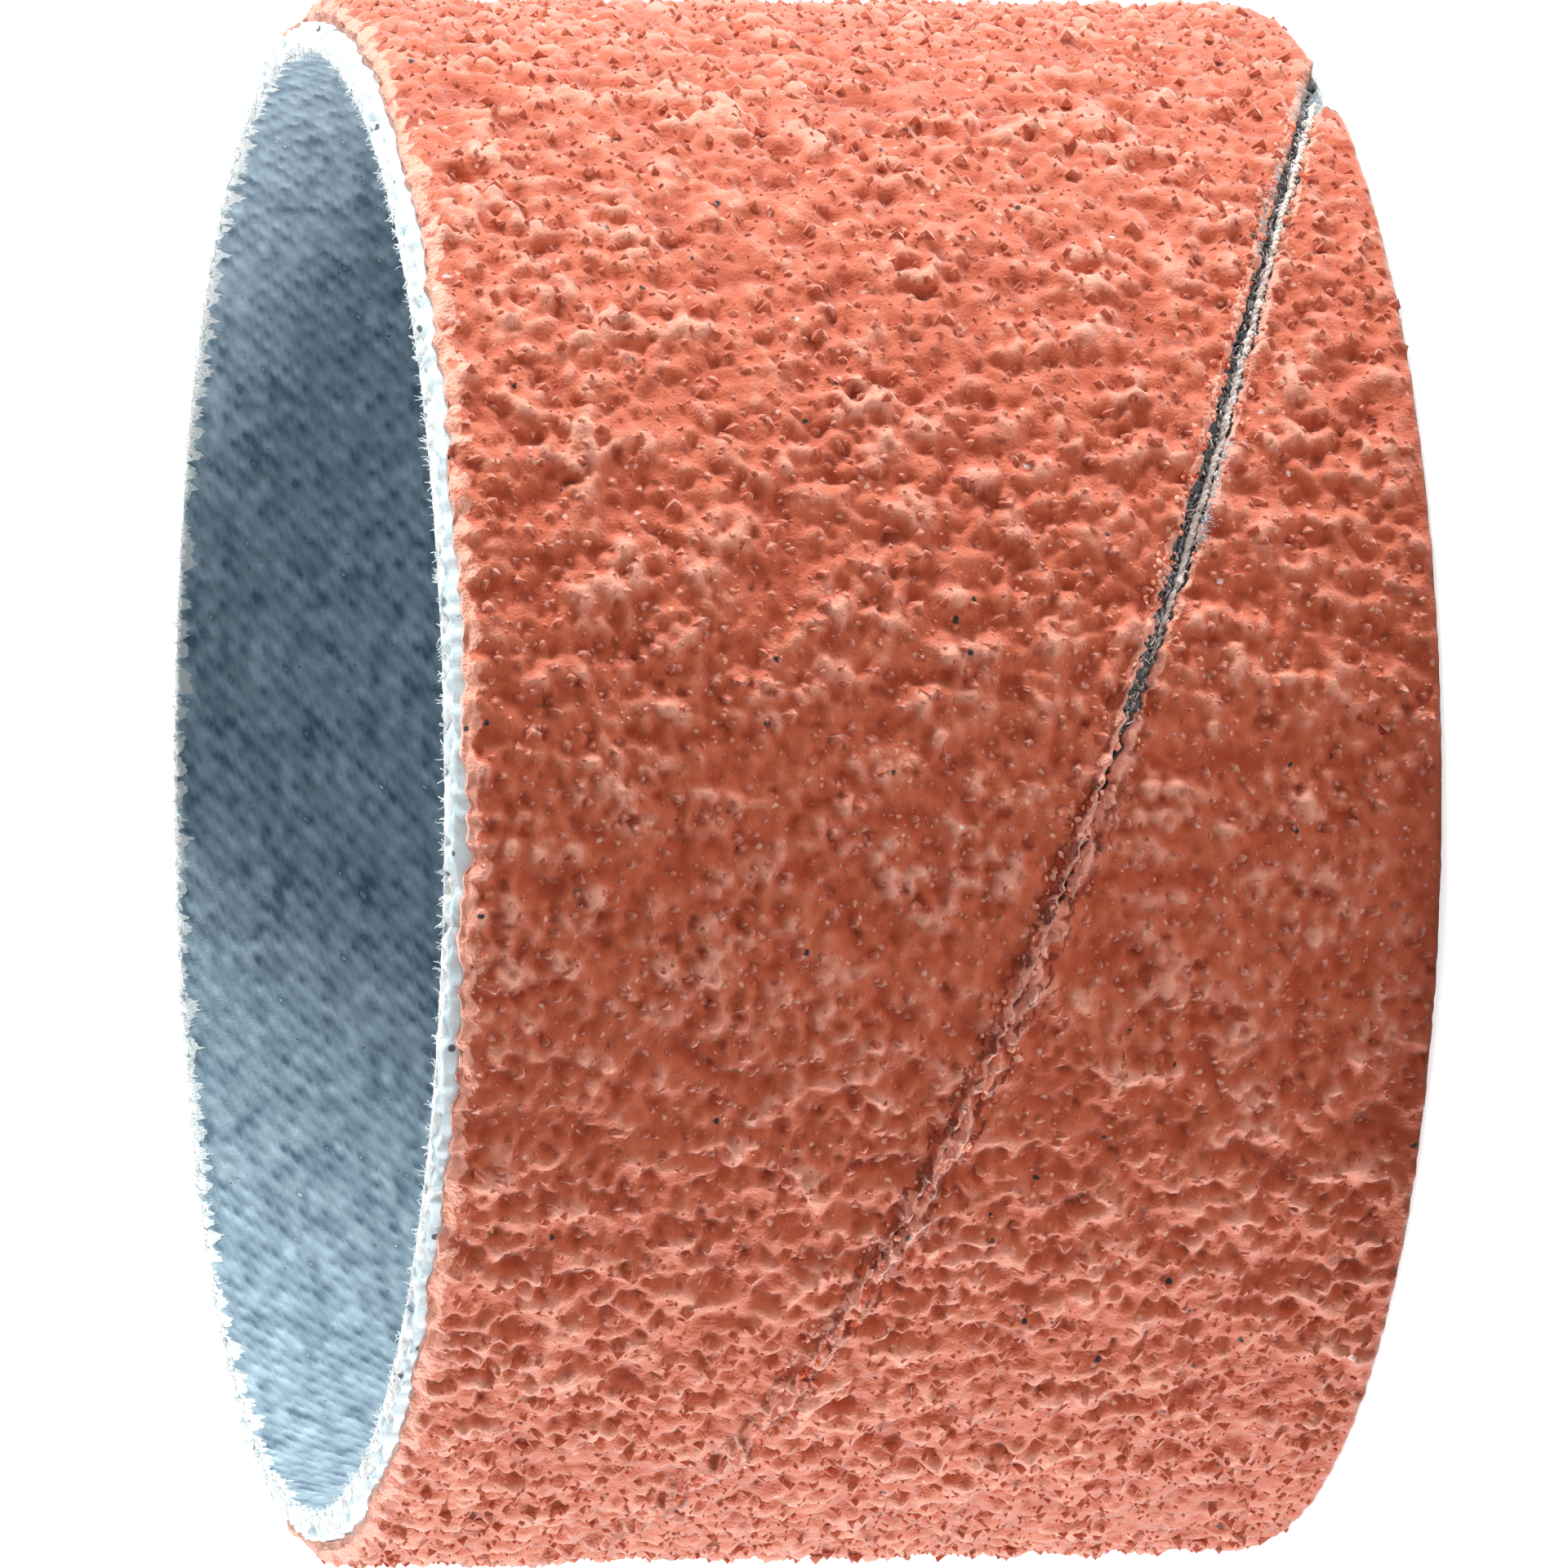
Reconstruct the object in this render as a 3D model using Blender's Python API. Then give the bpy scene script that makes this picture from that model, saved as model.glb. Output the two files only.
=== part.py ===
"""Sanding sleeve: a strip of abrasive cloth rolled into a ring and butted to itself along a slanted seam.

The sleeve stands on one end in metres, +Z up, its axis on Z and its origin at the middle of its foot.
Two bonded layers make it: the cloth backing inside and the abrasive coat outside.
Angles run anticlockwise from +X, seen from above.
"""

import math

import bmesh
import bpy
from mathutils import Vector, noise

# Sleeve
SLEEVE_LENGTH = 0.030
BORE_DIAMETER = 0.0452
CLOTH_THICKNESS = 0.0009
COAT_THICKNESS = 0.0006
BOND_LINE = 0.00004

# Trimmed ends: the top one is cut on a slant and bares the cloth, the bottom one is cut square
TOP_LAND_WIDTH = 0.00025
TOP_SLANT_DEPTH = 0.0002
TOP_COAT_SETBACK = 0.0003
TOP_COAT_BEVEL = 0.00035
BOTTOM_COAT_SETBACK = 0.0001
BOTTOM_COAT_BEVEL = 0.00015
COAT_EDGE_THICKNESS = 0.0003

# Slanted butt seam: it falls towards +angle, gapes at the foot and closes towards the top
SEAM_LEAD = 0.0574
SEAM_FOOT_ANGLE = math.radians(-25.4)
SEAM_FOOT_WIDTH = 0.0008
SEAM_TOP_WIDTH = 0.00026
SEAM_CLOTH_DEPTH = 0.00045
SEAM_FLARE_ANGLE = math.radians(12)
SEAM_LIP_RISE = 0.0002
SEAM_LIP_REACH = 0.0014
SEAM_OVERRUN = 0.0015

# Abrasive grain: blunt ridges that lie along the axis
GRAIN_RELIEF = 0.00036
GRAIN_PITCH = 0.0014
GRAIN_STRETCH = 1.5
EDGE_CRUMBLE = 0.00018

# Facets
FACETS_ROUND = 132
GRAIN_ROWS = 26

# Finishes: base colour and roughness
CLOTH_COLOUR = (0.33, 0.43, 0.50, 1.0)
CLOTH_ROUGHNESS = 0.95
COAT_COLOUR = (0.62, 0.19, 0.11, 1.0)
COAT_ROUGHNESS = 0.75

BORE_RADIUS = BORE_DIAMETER / 2
CLOTH_RADIUS = BORE_RADIUS + CLOTH_THICKNESS
COAT_FOOT_RADIUS = CLOTH_RADIUS + BOND_LINE
COAT_RADIUS = COAT_FOOT_RADIUS + COAT_THICKNESS
FACET_ANGLE = 2 * math.pi / FACETS_ROUND
SEAM_SLOPE = math.atan2(SEAM_LEAD, 2 * math.pi * COAT_RADIUS)


def clear_scene():
    """Removes every object that the scene starts with."""
    for item in list(bpy.data.objects):
        bpy.data.objects.remove(item, do_unlink=True)


def make_material(name, colour, roughness):
    """Returns a matt, non-metallic material."""
    material = bpy.data.materials.new(name)
    material.use_nodes = True
    shader = material.node_tree.nodes["Principled BSDF"]
    shader.inputs["Base Color"].default_value = colour
    shader.inputs["Roughness"].default_value = roughness
    shader.inputs["Metallic"].default_value = 0.0
    return material


def add_object(name, bm, material=None):
    """Puts a finished bmesh into the scene as a named object."""
    mesh = bpy.data.meshes.new(name)
    bm.to_mesh(mesh)
    bm.free()
    item = bpy.data.objects.new(name, mesh)
    bpy.context.scene.collection.objects.link(item)
    if material:
        mesh.materials.append(material)
    return item


def cut(item, cutter):
    """Takes the cutter's shape out of the item."""
    modifier = item.modifiers.new(cutter.name, "BOOLEAN")
    modifier.operation = "DIFFERENCE"
    modifier.solver = "EXACT"
    modifier.object = cutter


def around_axis(radius, angle, height):
    """Returns the point at a radius, angle and height."""
    return Vector((radius * math.cos(angle), radius * math.sin(angle), height))


def add_section(bm, section, angle):
    """Adds the (radius, height) points of a section in the half-plane at an angle."""
    return [bm.verts.new(around_axis(radius, angle, height)) for radius, height in section]


def skin_sections(bm, sections):
    """Joins each closed section to the next one with a band of faces."""
    for near, far in zip(sections, sections[1:]):
        for i in range(len(near)):
            bm.faces.new((near[i - 1], near[i], far[i], far[i - 1]))


def height_share(height):
    """Returns a height as a share of the sleeve's length, held between 0 and 1."""
    return min(max(height / SLEEVE_LENGTH, 0.0), 1.0)


def seam_angle(height):
    """Returns the angle at which the seam's middle passes a height."""
    return SEAM_FOOT_ANGLE - 2 * math.pi * height / SEAM_LEAD


def seam_height(angle):
    """Returns the height at which the seam's middle passes an angle."""
    return (SEAM_FOOT_ANGLE - angle) * SEAM_LEAD / (2 * math.pi)


def seam_section(height):
    """Returns the seam's section: a flared slot through the coat that ends as a V in the cloth."""
    width = SEAM_FOOT_WIDTH + (SEAM_TOP_WIDTH - SEAM_FOOT_WIDTH) * height_share(height)
    half = width / (2 * math.cos(SEAM_SLOPE))
    neck_radius = (CLOTH_RADIUS + COAT_FOOT_RADIUS) / 2
    mouth_radius = COAT_RADIUS + SEAM_OVERRUN
    mouth = half + (mouth_radius - neck_radius) * math.tan(SEAM_FLARE_ANGLE)
    return [
        (CLOTH_RADIUS - SEAM_CLOTH_DEPTH, height),
        (neck_radius, height - half),
        (mouth_radius, height - mouth),
        (mouth_radius, height + mouth),
        (neck_radius, height + half),
    ]


def make_seam_cutter():
    """Lofts the seam's section along its helix, past both ends of the sleeve.

    Its sections lie midway between the corners of the round faces, so that each corner is cut cleanly.
    """
    bm = bmesh.new()
    first = math.ceil(seam_angle(-SEAM_OVERRUN) / FACET_ANGLE)
    last = math.floor(seam_angle(SLEEVE_LENGTH + SEAM_OVERRUN) / FACET_ANGLE)
    sections = []
    for facet in range(first, last - 1, -1):
        angle = (facet + 0.5) * FACET_ANGLE
        sections.append(add_section(bm, seam_section(seam_height(angle)), angle))
    skin_sections(bm, sections)
    for end in (sections[0], sections[-1]):
        bm.faces.new(end)
    bmesh.ops.recalc_face_normals(bm, faces=bm.faces)
    cutter = add_object("seam_cutter", bm)
    cutter.hide_render = True
    cutter.display_type = "WIRE"
    return cutter


def make_cloth_backing(cutter):
    """Turns the cloth ring: a square foot, a smooth bore and a slanted cut at the top."""
    section = [
        (BORE_RADIUS + TOP_LAND_WIDTH, SLEEVE_LENGTH),
        (CLOTH_RADIUS, SLEEVE_LENGTH - TOP_SLANT_DEPTH),
        (CLOTH_RADIUS, 0.0),
        (BORE_RADIUS, 0.0),
        (BORE_RADIUS, SLEEVE_LENGTH),
    ]
    bm = bmesh.new()
    points = add_section(bm, section, 0.0)
    for i, point in enumerate(points):
        bm.edges.new((points[i - 1], point))
    cloth = add_object("cloth_backing", bm, make_material("backing_cloth", CLOTH_COLOUR, CLOTH_ROUGHNESS))
    turn = cloth.modifiers.new("turn", "SCREW")
    turn.angle = 2 * math.pi
    turn.steps = FACETS_ROUND
    turn.render_steps = FACETS_ROUND
    turn.use_merge_vertices = True
    turn.merge_threshold = 0.000001
    cut(cloth, cutter)
    return cloth


def grain_rise(angle, height):
    """Returns how far the grain lifts or drops the coat's face at a point."""
    place = around_axis(COAT_RADIUS, angle, height / GRAIN_STRETCH)
    return GRAIN_RELIEF * noise.noise(place / GRAIN_PITCH)


def lip_rise(angle, height):
    """Returns the lift of the two lips where the closed stretch of the seam pushes the coat up."""
    turn = (angle - seam_angle(height) + math.pi) % (2 * math.pi) - math.pi
    reach = turn * COAT_RADIUS * math.sin(SEAM_SLOPE) / SEAM_LIP_REACH
    return SEAM_LIP_RISE * height_share(height) * math.exp(-reach * reach)


def coat_section(angle):
    """Returns the coat's section at an angle: back, crumbled top edge, grained face and foot."""
    top = SLEEVE_LENGTH - TOP_COAT_SETBACK
    bottom = BOTTOM_COAT_SETBACK
    edge_radius = COAT_FOOT_RADIUS + COAT_EDGE_THICKNESS
    crumble = EDGE_CRUMBLE * abs(noise.noise(around_axis(COAT_RADIUS, angle, 0.0) / GRAIN_PITCH))
    face_top = top - TOP_COAT_BEVEL
    face_bottom = bottom + BOTTOM_COAT_BEVEL
    section = [(COAT_FOOT_RADIUS, bottom), (COAT_FOOT_RADIUS, top), (edge_radius, top - crumble)]
    for row in range(GRAIN_ROWS + 1):
        height = face_top + (face_bottom - face_top) * row / GRAIN_ROWS
        section.append((COAT_RADIUS + grain_rise(angle, height) + lip_rise(angle, height), height))
    section.append((edge_radius, bottom))
    return section


def make_abrasive_coat(cutter):
    """Lofts the coat ring with its grain, set back from the cloth's ends, and opens the seam in it."""
    bm = bmesh.new()
    sections = []
    for facet in range(FACETS_ROUND):
        angle = facet * FACET_ANGLE
        sections.append(add_section(bm, coat_section(angle), angle))
    skin_sections(bm, sections + sections[:1])
    bmesh.ops.recalc_face_normals(bm, faces=bm.faces)
    coat = add_object("abrasive_coat", bm, make_material("abrasive_grain", COAT_COLOUR, COAT_ROUGHNESS))
    cut(coat, cutter)
    return coat


def shade_round(item):
    """Shades the turned faces smooth and keeps the trimmed edges sharp."""
    item.data.shade_smooth()
    item.data.set_sharp_from_angle(angle=math.radians(40))


def main():
    """Builds the sleeve."""
    clear_scene()
    cutter = make_seam_cutter()
    for layer in (make_cloth_backing(cutter), make_abrasive_coat(cutter)):
        shade_round(layer)


main()
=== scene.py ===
"""Dresses the sanding sleeve: a grained coat on a twill cloth ring, with a frayed rim and an open butt seam.

Lengths are metres and angles are radians. The sleeve stands on its square-cut end with its axis on Z.
Angles run anticlockwise from +X, seen from above, and the seam falls as its angle grows.
"""

import logging
import math
import random
from collections.abc import Sequence
from dataclasses import dataclass, field
from enum import Enum

import bpy
from mathutils import Matrix, Vector, noise


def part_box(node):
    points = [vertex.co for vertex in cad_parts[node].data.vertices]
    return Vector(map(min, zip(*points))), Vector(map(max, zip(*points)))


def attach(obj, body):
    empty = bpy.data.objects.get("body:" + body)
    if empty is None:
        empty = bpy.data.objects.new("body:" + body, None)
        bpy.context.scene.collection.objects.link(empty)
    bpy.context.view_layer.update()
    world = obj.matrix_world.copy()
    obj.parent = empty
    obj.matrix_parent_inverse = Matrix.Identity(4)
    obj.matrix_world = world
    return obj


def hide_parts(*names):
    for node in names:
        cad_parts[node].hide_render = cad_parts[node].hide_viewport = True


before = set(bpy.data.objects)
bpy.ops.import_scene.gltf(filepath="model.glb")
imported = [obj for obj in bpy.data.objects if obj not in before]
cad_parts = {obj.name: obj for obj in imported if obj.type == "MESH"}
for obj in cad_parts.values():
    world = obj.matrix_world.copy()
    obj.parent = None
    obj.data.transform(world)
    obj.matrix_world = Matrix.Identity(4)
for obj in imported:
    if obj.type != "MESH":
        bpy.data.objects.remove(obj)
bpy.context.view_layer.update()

LOG = logging.getLogger("sanding_sleeve")
BODY = "root"
MM = 0.001
FULL_TURN = 2 * math.pi

UP = Vector((0.0, 0.0, 1.0))

Colour = tuple[float, float, float, float]
Face = tuple[int, ...]
Socket = bpy.types.NodeSocket
Material = bpy.types.Material


class Node(Enum):
    """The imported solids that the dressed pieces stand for."""

    CLOTH = "cloth_backing"
    COAT = "abrasive_coat"


class Slot(Enum):
    """The record's material slots."""

    CLOTH = "backing_cloth"
    COAT = "abrasive_grain"


class End(Enum):
    """What a strip runs into at one of its edges."""

    RIM = "rim"
    LIP = "lip"


def smooth_step(low: float, high: float, value: float) -> float:
    """Returns 0 below low, 1 above high and an eased share between them.

    Args:
        low: Value at which the step starts.
        high: Value at which the step is complete.
        value: Value to place on the step.

    Returns:
        A share from 0 to 1.
    """
    share = min(max((value - low) / (high - low), 0.0), 1.0)
    return share * share * (3 - 2 * share)


def around_axis(radius: float, angle: float, height: float) -> Vector:
    """Returns the point at a radius, angle and height."""
    return Vector((radius * math.cos(angle), radius * math.sin(angle), height))


def around_directions(angle: float) -> tuple[Vector, Vector]:
    """Returns the outward and the sideways direction at an angle."""
    return around_axis(1.0, angle, 0.0), around_axis(1.0, angle + math.pi / 2, 0.0)


def in_pitches(place: Vector, pitch: float, seed: float) -> Vector:
    """Returns a point in units of a pitch, moved away by a seed so that one noise differs from another."""
    return place / pitch + Vector((seed, seed * 0.37, -seed))


def rough(place: Vector, pitch: float, seed: float = 0.0) -> float:
    """Returns smooth noise between about -1 and 1.

    Args:
        place: Point at which the noise is read.
        pitch: Typical spacing of its waves.
        seed: Offset that makes one noise differ from another.

    Returns:
        The noise at the point.
    """
    return noise.noise(in_pitches(place, pitch, seed))


def hollow_share(place: Vector, pitch: float, reach: float, seed: float) -> float:
    """Returns how deep a point lies in one of many scattered bowl-shaped pits.

    Args:
        place: Point to test.
        pitch: Spacing of the pits' centres.
        reach: Radius of the largest pits.
        seed: Offset that makes one scatter differ from another.

    Returns:
        0 outside the pits, rising to 1 at the bottom of the deepest.
    """
    distances, _ = noise.voronoi(in_pitches(place, pitch, seed), distance_metric="MANHATTAN")
    share = distances[0] * pitch / reach
    return max(0.0, 1.0 - share * share)


@dataclass
class MeshDraft:
    """Points, faces and named point values gathered before a mesh is made."""

    points: list[Vector] = field(default_factory=list)
    faces: list[Face] = field(default_factory=list)
    values: dict[str, list[float]] = field(default_factory=dict)

    def add_point(self, place: Vector, **values: float) -> int:
        """Adds a point with its named values and returns its index."""
        self.points.append(place)
        for name, value in values.items():
            self.values.setdefault(name, []).append(value)
        return len(self.points) - 1

    def make_piece(self, name: str, material: Material, sharp: float | None = None) -> bpy.types.Object:
        """Makes the mesh object, turns its faces out and shades all but its many-sided faces smooth.

        Args:
            name: Name of the piece.
            material: Material that it wears.
            sharp: Angle past which an edge stays sharp, or None for smooth all over.

        Returns:
            The piece, at the origin.
        """
        mesh = bpy.data.meshes.new(name)
        mesh.from_pydata(self.points, [], self.faces)
        mesh.validate()
        for key, values in self.values.items():
            mesh.attributes.new(key, "FLOAT", "POINT").data.foreach_set("value", values)
        piece = bpy.data.objects.new(name, mesh)
        bpy.context.scene.collection.objects.link(piece)
        mesh.materials.append(material)
        turn_faces_out(piece)
        mesh.shade_smooth()
        for face in mesh.polygons:
            if len(face.vertices) > 4:
                face.use_smooth = False
        if sharp is not None:
            mesh.set_sharp_from_angle(angle=sharp)
        return piece


def turn_faces_out(piece: bpy.types.Object) -> None:
    """Recalculates a closed piece's normals so that they all point outwards."""
    bpy.ops.object.select_all(action="DESELECT")
    piece.select_set(True)
    bpy.context.view_layer.objects.active = piece
    bpy.ops.object.mode_set(mode="EDIT")
    bpy.ops.mesh.select_all(action="SELECT")
    bpy.ops.mesh.normals_make_consistent(inside=False)
    bpy.ops.mesh.select_all(action="DESELECT")
    bpy.ops.object.mode_set(mode="OBJECT")
    piece.select_set(False)


def settle(piece: bpy.types.Object, slot: Slot, *nodes: Node) -> None:
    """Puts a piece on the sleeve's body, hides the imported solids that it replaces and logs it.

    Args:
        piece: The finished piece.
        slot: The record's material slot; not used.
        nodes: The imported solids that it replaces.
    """
    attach(piece, BODY)
    if nodes:
        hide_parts(*[node.value for node in nodes])
    triangles = sum(len(face.vertices) - 2 for face in piece.data.polygons)
    LOG.info("%s: %d triangles", piece.name, triangles)


@dataclass(frozen=True)
class SleeveSizes:
    """The sleeve's main sizes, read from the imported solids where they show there."""

    length: float
    cloth_radius: float
    cloth_thickness: float = 0.9 * MM
    coat_thickness: float = 0.6 * MM
    bond_line: float = 0.04 * MM
    top_land: float = 0.25 * MM
    top_slant: float = 0.2 * MM
    coat_top_setback: float = 0.3 * MM
    coat_foot_setback: float = 0.1 * MM

    @classmethod
    def from_frame(cls) -> "SleeveSizes":
        """Reads the length and the cloth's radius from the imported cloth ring."""
        low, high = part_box(Node.CLOTH.value)
        return cls(length=high[2] - low[2], cloth_radius=(high[0] - low[0]) / 2)

    @property
    def bore_radius(self) -> float:
        """Radius of the bore."""
        return self.cloth_radius - self.cloth_thickness

    @property
    def coat_back_radius(self) -> float:
        """Radius of the coat's back, where it is bonded to the cloth."""
        return self.cloth_radius + self.bond_line

    @property
    def coat_radius(self) -> float:
        """Mean radius of the coat's face."""
        return self.coat_back_radius + self.coat_thickness


@dataclass(frozen=True)
class SeamPath:
    """The slanted butt seam: a helix that gapes at the foot and closes towards the top."""

    sizes: SleeveSizes
    lead: float = 57.4 * MM
    foot_angle: float = math.radians(-25.4)
    open_width: float = 0.62 * MM
    closed_width: float = 0.05 * MM
    open_height: float = 7.6 * MM
    closed_height: float = 11.5 * MM
    wander: float = 0.10 * MM
    wander_pitch: float = 2.6 * MM

    @property
    def slope(self) -> float:
        """Angle between the seam and the sleeve's rims."""
        return math.atan2(self.lead, FULL_TURN * self.sizes.coat_radius)

    def height_at(self, angle: float) -> float:
        """Returns the height of the seam's middle at an angle."""
        straight = (self.foot_angle - angle) * self.lead / FULL_TURN
        place = around_axis(self.sizes.coat_radius, angle, straight)
        return straight + self.wander * rough(place, self.wander_pitch, 3.1)

    def angle_at(self, height: float) -> float:
        """Returns the angle of the seam's middle at a height, leaving out its wander."""
        return self.foot_angle - FULL_TURN * height / self.lead

    def openness(self, height: float) -> float:
        """Returns 1 where the seam gapes and 0 where it is closed."""
        return 1.0 - smooth_step(self.open_height, self.closed_height, height)

    def half_gap(self, height: float) -> float:
        """Returns half the seam's opening, measured along the axis, at a height."""
        width = self.closed_width + (self.open_width - self.closed_width) * self.openness(height)
        return width / (2 * math.cos(self.slope))

    def across(self, angle: float, height: float) -> float:
        """Returns the distance of a point from the seam's middle, positive above the seam."""
        turn = (angle - self.angle_at(height) + math.pi) % FULL_TURN - math.pi
        return turn * self.sizes.coat_radius * math.sin(self.slope)


class NodeNet:
    """A small helper that lays out one material's or one group's nodes."""

    def __init__(self, tree: bpy.types.NodeTree) -> None:
        """Keeps the tree that the nodes go into."""
        self.tree = tree

    def add(self, kind: str, inputs: dict[str | int, object] | None = None,
            **settings: object) -> bpy.types.Node:
        """Adds a node, sets its properties and feeds its inputs.

        Args:
            kind: The node's type.
            inputs: A value or a socket for each input's name or number.
            settings: The node's properties.

        Returns:
            The node.
        """
        node = self.tree.nodes.new(kind)
        for name, value in settings.items():
            setattr(node, name, value)
        self.feed_all(node, inputs or {})
        return node

    def feed_all(self, node: bpy.types.Node, sources: dict[str | int, object]) -> None:
        """Feeds several of a node's inputs, each by its name or number."""
        for key, source in sources.items():
            self.feed(node.inputs[key], source)

    def feed(self, target: Socket, source: object) -> None:
        """Links a socket to a target, or sets the target's own value."""
        if isinstance(source, Socket):
            self.tree.links.new(source, target)
        else:
            target.default_value = source

    def noise(self, vector: object, scale: float, detail: float = 2.0, rough: float = 0.5) -> Socket:
        """Returns a noise value over a vector.

        Args:
            vector: Socket that gives the coordinates.
            scale: Waves for each unit of the coordinates.
            detail: Octaves of finer noise.
            rough: Strength of the finer octaves.

        Returns:
            The socket of the noise's value.
        """
        inputs = {"Vector": vector, "Scale": scale, "Detail": detail, "Roughness": rough}
        return self.add("ShaderNodeTexNoise", inputs).outputs["Fac"]

    def cells(self, vector: object, scale: float) -> Socket:
        """Returns the distance to the nearest of many scattered cells' centres."""
        return self.add("ShaderNodeTexVoronoi", {"Vector": vector, "Scale": scale}).outputs["Distance"]

    def math(self, operation: str, first: object, second: object = 0.0, clamp: bool = False) -> Socket:
        """Returns the result of a math node."""
        inputs = {0: first, 1: second}
        return self.add("ShaderNodeMath", inputs, operation=operation, use_clamp=clamp).outputs[0]

    def plus(self, first: object, second: object, clamp: bool = False) -> Socket:
        """Returns the sum of two values, held between 0 and 1 where that is asked for."""
        return self.math("ADD", first, second, clamp)

    def minus(self, first: object, second: object) -> Socket:
        """Returns the first value less the second."""
        return self.math("SUBTRACT", first, second)

    def times(self, first: object, second: object) -> Socket:
        """Returns the product of two values."""
        return self.math("MULTIPLY", first, second)

    def larger(self, first: object, second: object) -> Socket:
        """Returns the larger of two values."""
        return self.math("MAXIMUM", first, second)

    def span(self, value: object, low: float, high: float, to_low: float = 0.0, to_high: float = 1.0,
             smooth: bool = True) -> Socket:
        """Returns a value mapped from one span to another and held inside it."""
        inputs = {"Value": value, "From Min": low, "From Max": high, "To Min": to_low, "To Max": to_high}
        kind = "SMOOTHSTEP" if smooth else "LINEAR"
        return self.add("ShaderNodeMapRange", inputs, interpolation_type=kind).outputs["Result"]

    def mix(self, share: object, first: object, second: object) -> Socket:
        """Returns a colour mixed from two colours."""
        return self.add("ShaderNodeMix", {"Factor": share, 6: first, 7: second}, data_type="RGBA").outputs[2]

    def bump(self, height: object, strength: float, distance: float) -> Socket:
        """Returns a normal bent by a height."""
        inputs = {"Height": height, "Strength": strength, "Distance": distance}
        return self.add("ShaderNodeBump", inputs).outputs["Normal"]

    def point_value(self, name: str) -> Socket:
        """Returns the mesh value that was kept under a name."""
        return self.add("ShaderNodeAttribute", attribute_name=name).outputs["Fac"]

    def place(self) -> Socket:
        """Returns the object coordinates."""
        return self.add("ShaderNodeTexCoord").outputs["Object"]

    def jumbled(self, vector: object, scale: float, reach: float) -> Socket:
        """Returns a vector pushed about by noise, so that what is drawn on it gets ragged edges.

        Args:
            vector: Socket that gives the coordinates.
            scale: Waves of the noise for each unit of the coordinates.
            reach: How far the vector is pushed.

        Returns:
            The socket of the pushed coordinates.
        """
        texture = self.add("ShaderNodeTexNoise", {"Vector": vector, "Scale": scale, "Detail": 0.0})
        inputs = {0: texture.outputs["Color"], 1: (reach, reach, reach), 2: vector}
        return self.add("ShaderNodeVectorMath", inputs, operation="MULTIPLY_ADD").outputs["Vector"]


def new_group(name: str) -> tuple[NodeNet, Socket]:
    """Starts a shader node group that takes coordinates.

    Args:
        name: Name of the group.

    Returns:
        A net that lays out its nodes, and the socket of the coordinates.
    """
    group = bpy.data.node_groups.new(name, "ShaderNodeTree")
    group.interface.new_socket("Vector", in_out="INPUT", socket_type="NodeSocketVector")
    net = NodeNet(group)
    return net, net.add("NodeGroupInput").outputs["Vector"]


def close_group(net: NodeNet, outputs: dict[str, Socket]) -> bpy.types.NodeTree:
    """Gives a group its outputs, each a plain value.

    Args:
        net: Net of the group.
        outputs: The socket behind each output's name.

    Returns:
        The finished group.
    """
    for label in outputs:
        net.tree.interface.new_socket(label, in_out="OUTPUT", socket_type="NodeSocketFloat")
    net.add("NodeGroupOutput", outputs)
    return net.tree


def grain_group() -> bpy.types.NodeTree:
    """Builds the fine grain that the coat and its crumbs share.

    Returns:
        A group that turns coordinates into a height, a mottle and a mask of small, unmodelled pits, which the
        coat paints dark as their shade.
    """
    net, place = new_group("fine_grain")
    fine = net.noise(place, 9000.0, 2.0, 0.5)
    lumps = net.noise(place, 2000.0, 1.0, 0.5)
    warp = net.times(net.minus(net.noise(place, 4500.0, 2.0), 0.5), 0.50)
    hollows = net.plus(net.cells(place, 1250.0), warp)
    pit = net.span(hollows, 0.34, 0.06)
    height = net.plus(net.times(fine, 0.60), net.times(lumps, 0.4))
    mottle = net.noise(place, 1500.0, 3.0, 0.65)
    return close_group(net, {"Height": height, "Mottle": mottle, "Pit Shade": pit})


def fibre_group() -> bpy.types.NodeTree:
    """Builds the soft mottle and fuzz that cloth, yarns and loose fibres share.

    Returns:
        A group that turns coordinates into a height and a mottle.
    """
    net, place = new_group("fibre_fuzz")
    height = net.noise(place, 14000.0, 3.0, 0.7)
    mottle = net.noise(place, 1100.0, 4.0, 0.6)
    return close_group(net, {"Height": height, "Mottle": mottle})


class Shop:
    """Holds the shared node groups, each built once."""

    def __init__(self) -> None:
        """Builds the groups."""
        self.grain = grain_group()
        self.fibre = fibre_group()

    def use(self, net: NodeNet, group: bpy.types.NodeTree, vector: object) -> bpy.types.Node:
        """Places a shared group in a material and feeds its coordinates."""
        return net.add("ShaderNodeGroup", {"Vector": vector}, node_tree=group)


def new_material(name: str) -> tuple[Material, NodeNet, bpy.types.Node]:
    """Makes a material with a Principled shader.

    Args:
        name: Name of the material.

    Returns:
        The material, a net that lays out its nodes and its shader.
    """
    material = bpy.data.materials.new(name)
    material.use_nodes = True
    shader = material.node_tree.nodes["Principled BSDF"]
    return material, NodeNet(material.node_tree), shader


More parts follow.
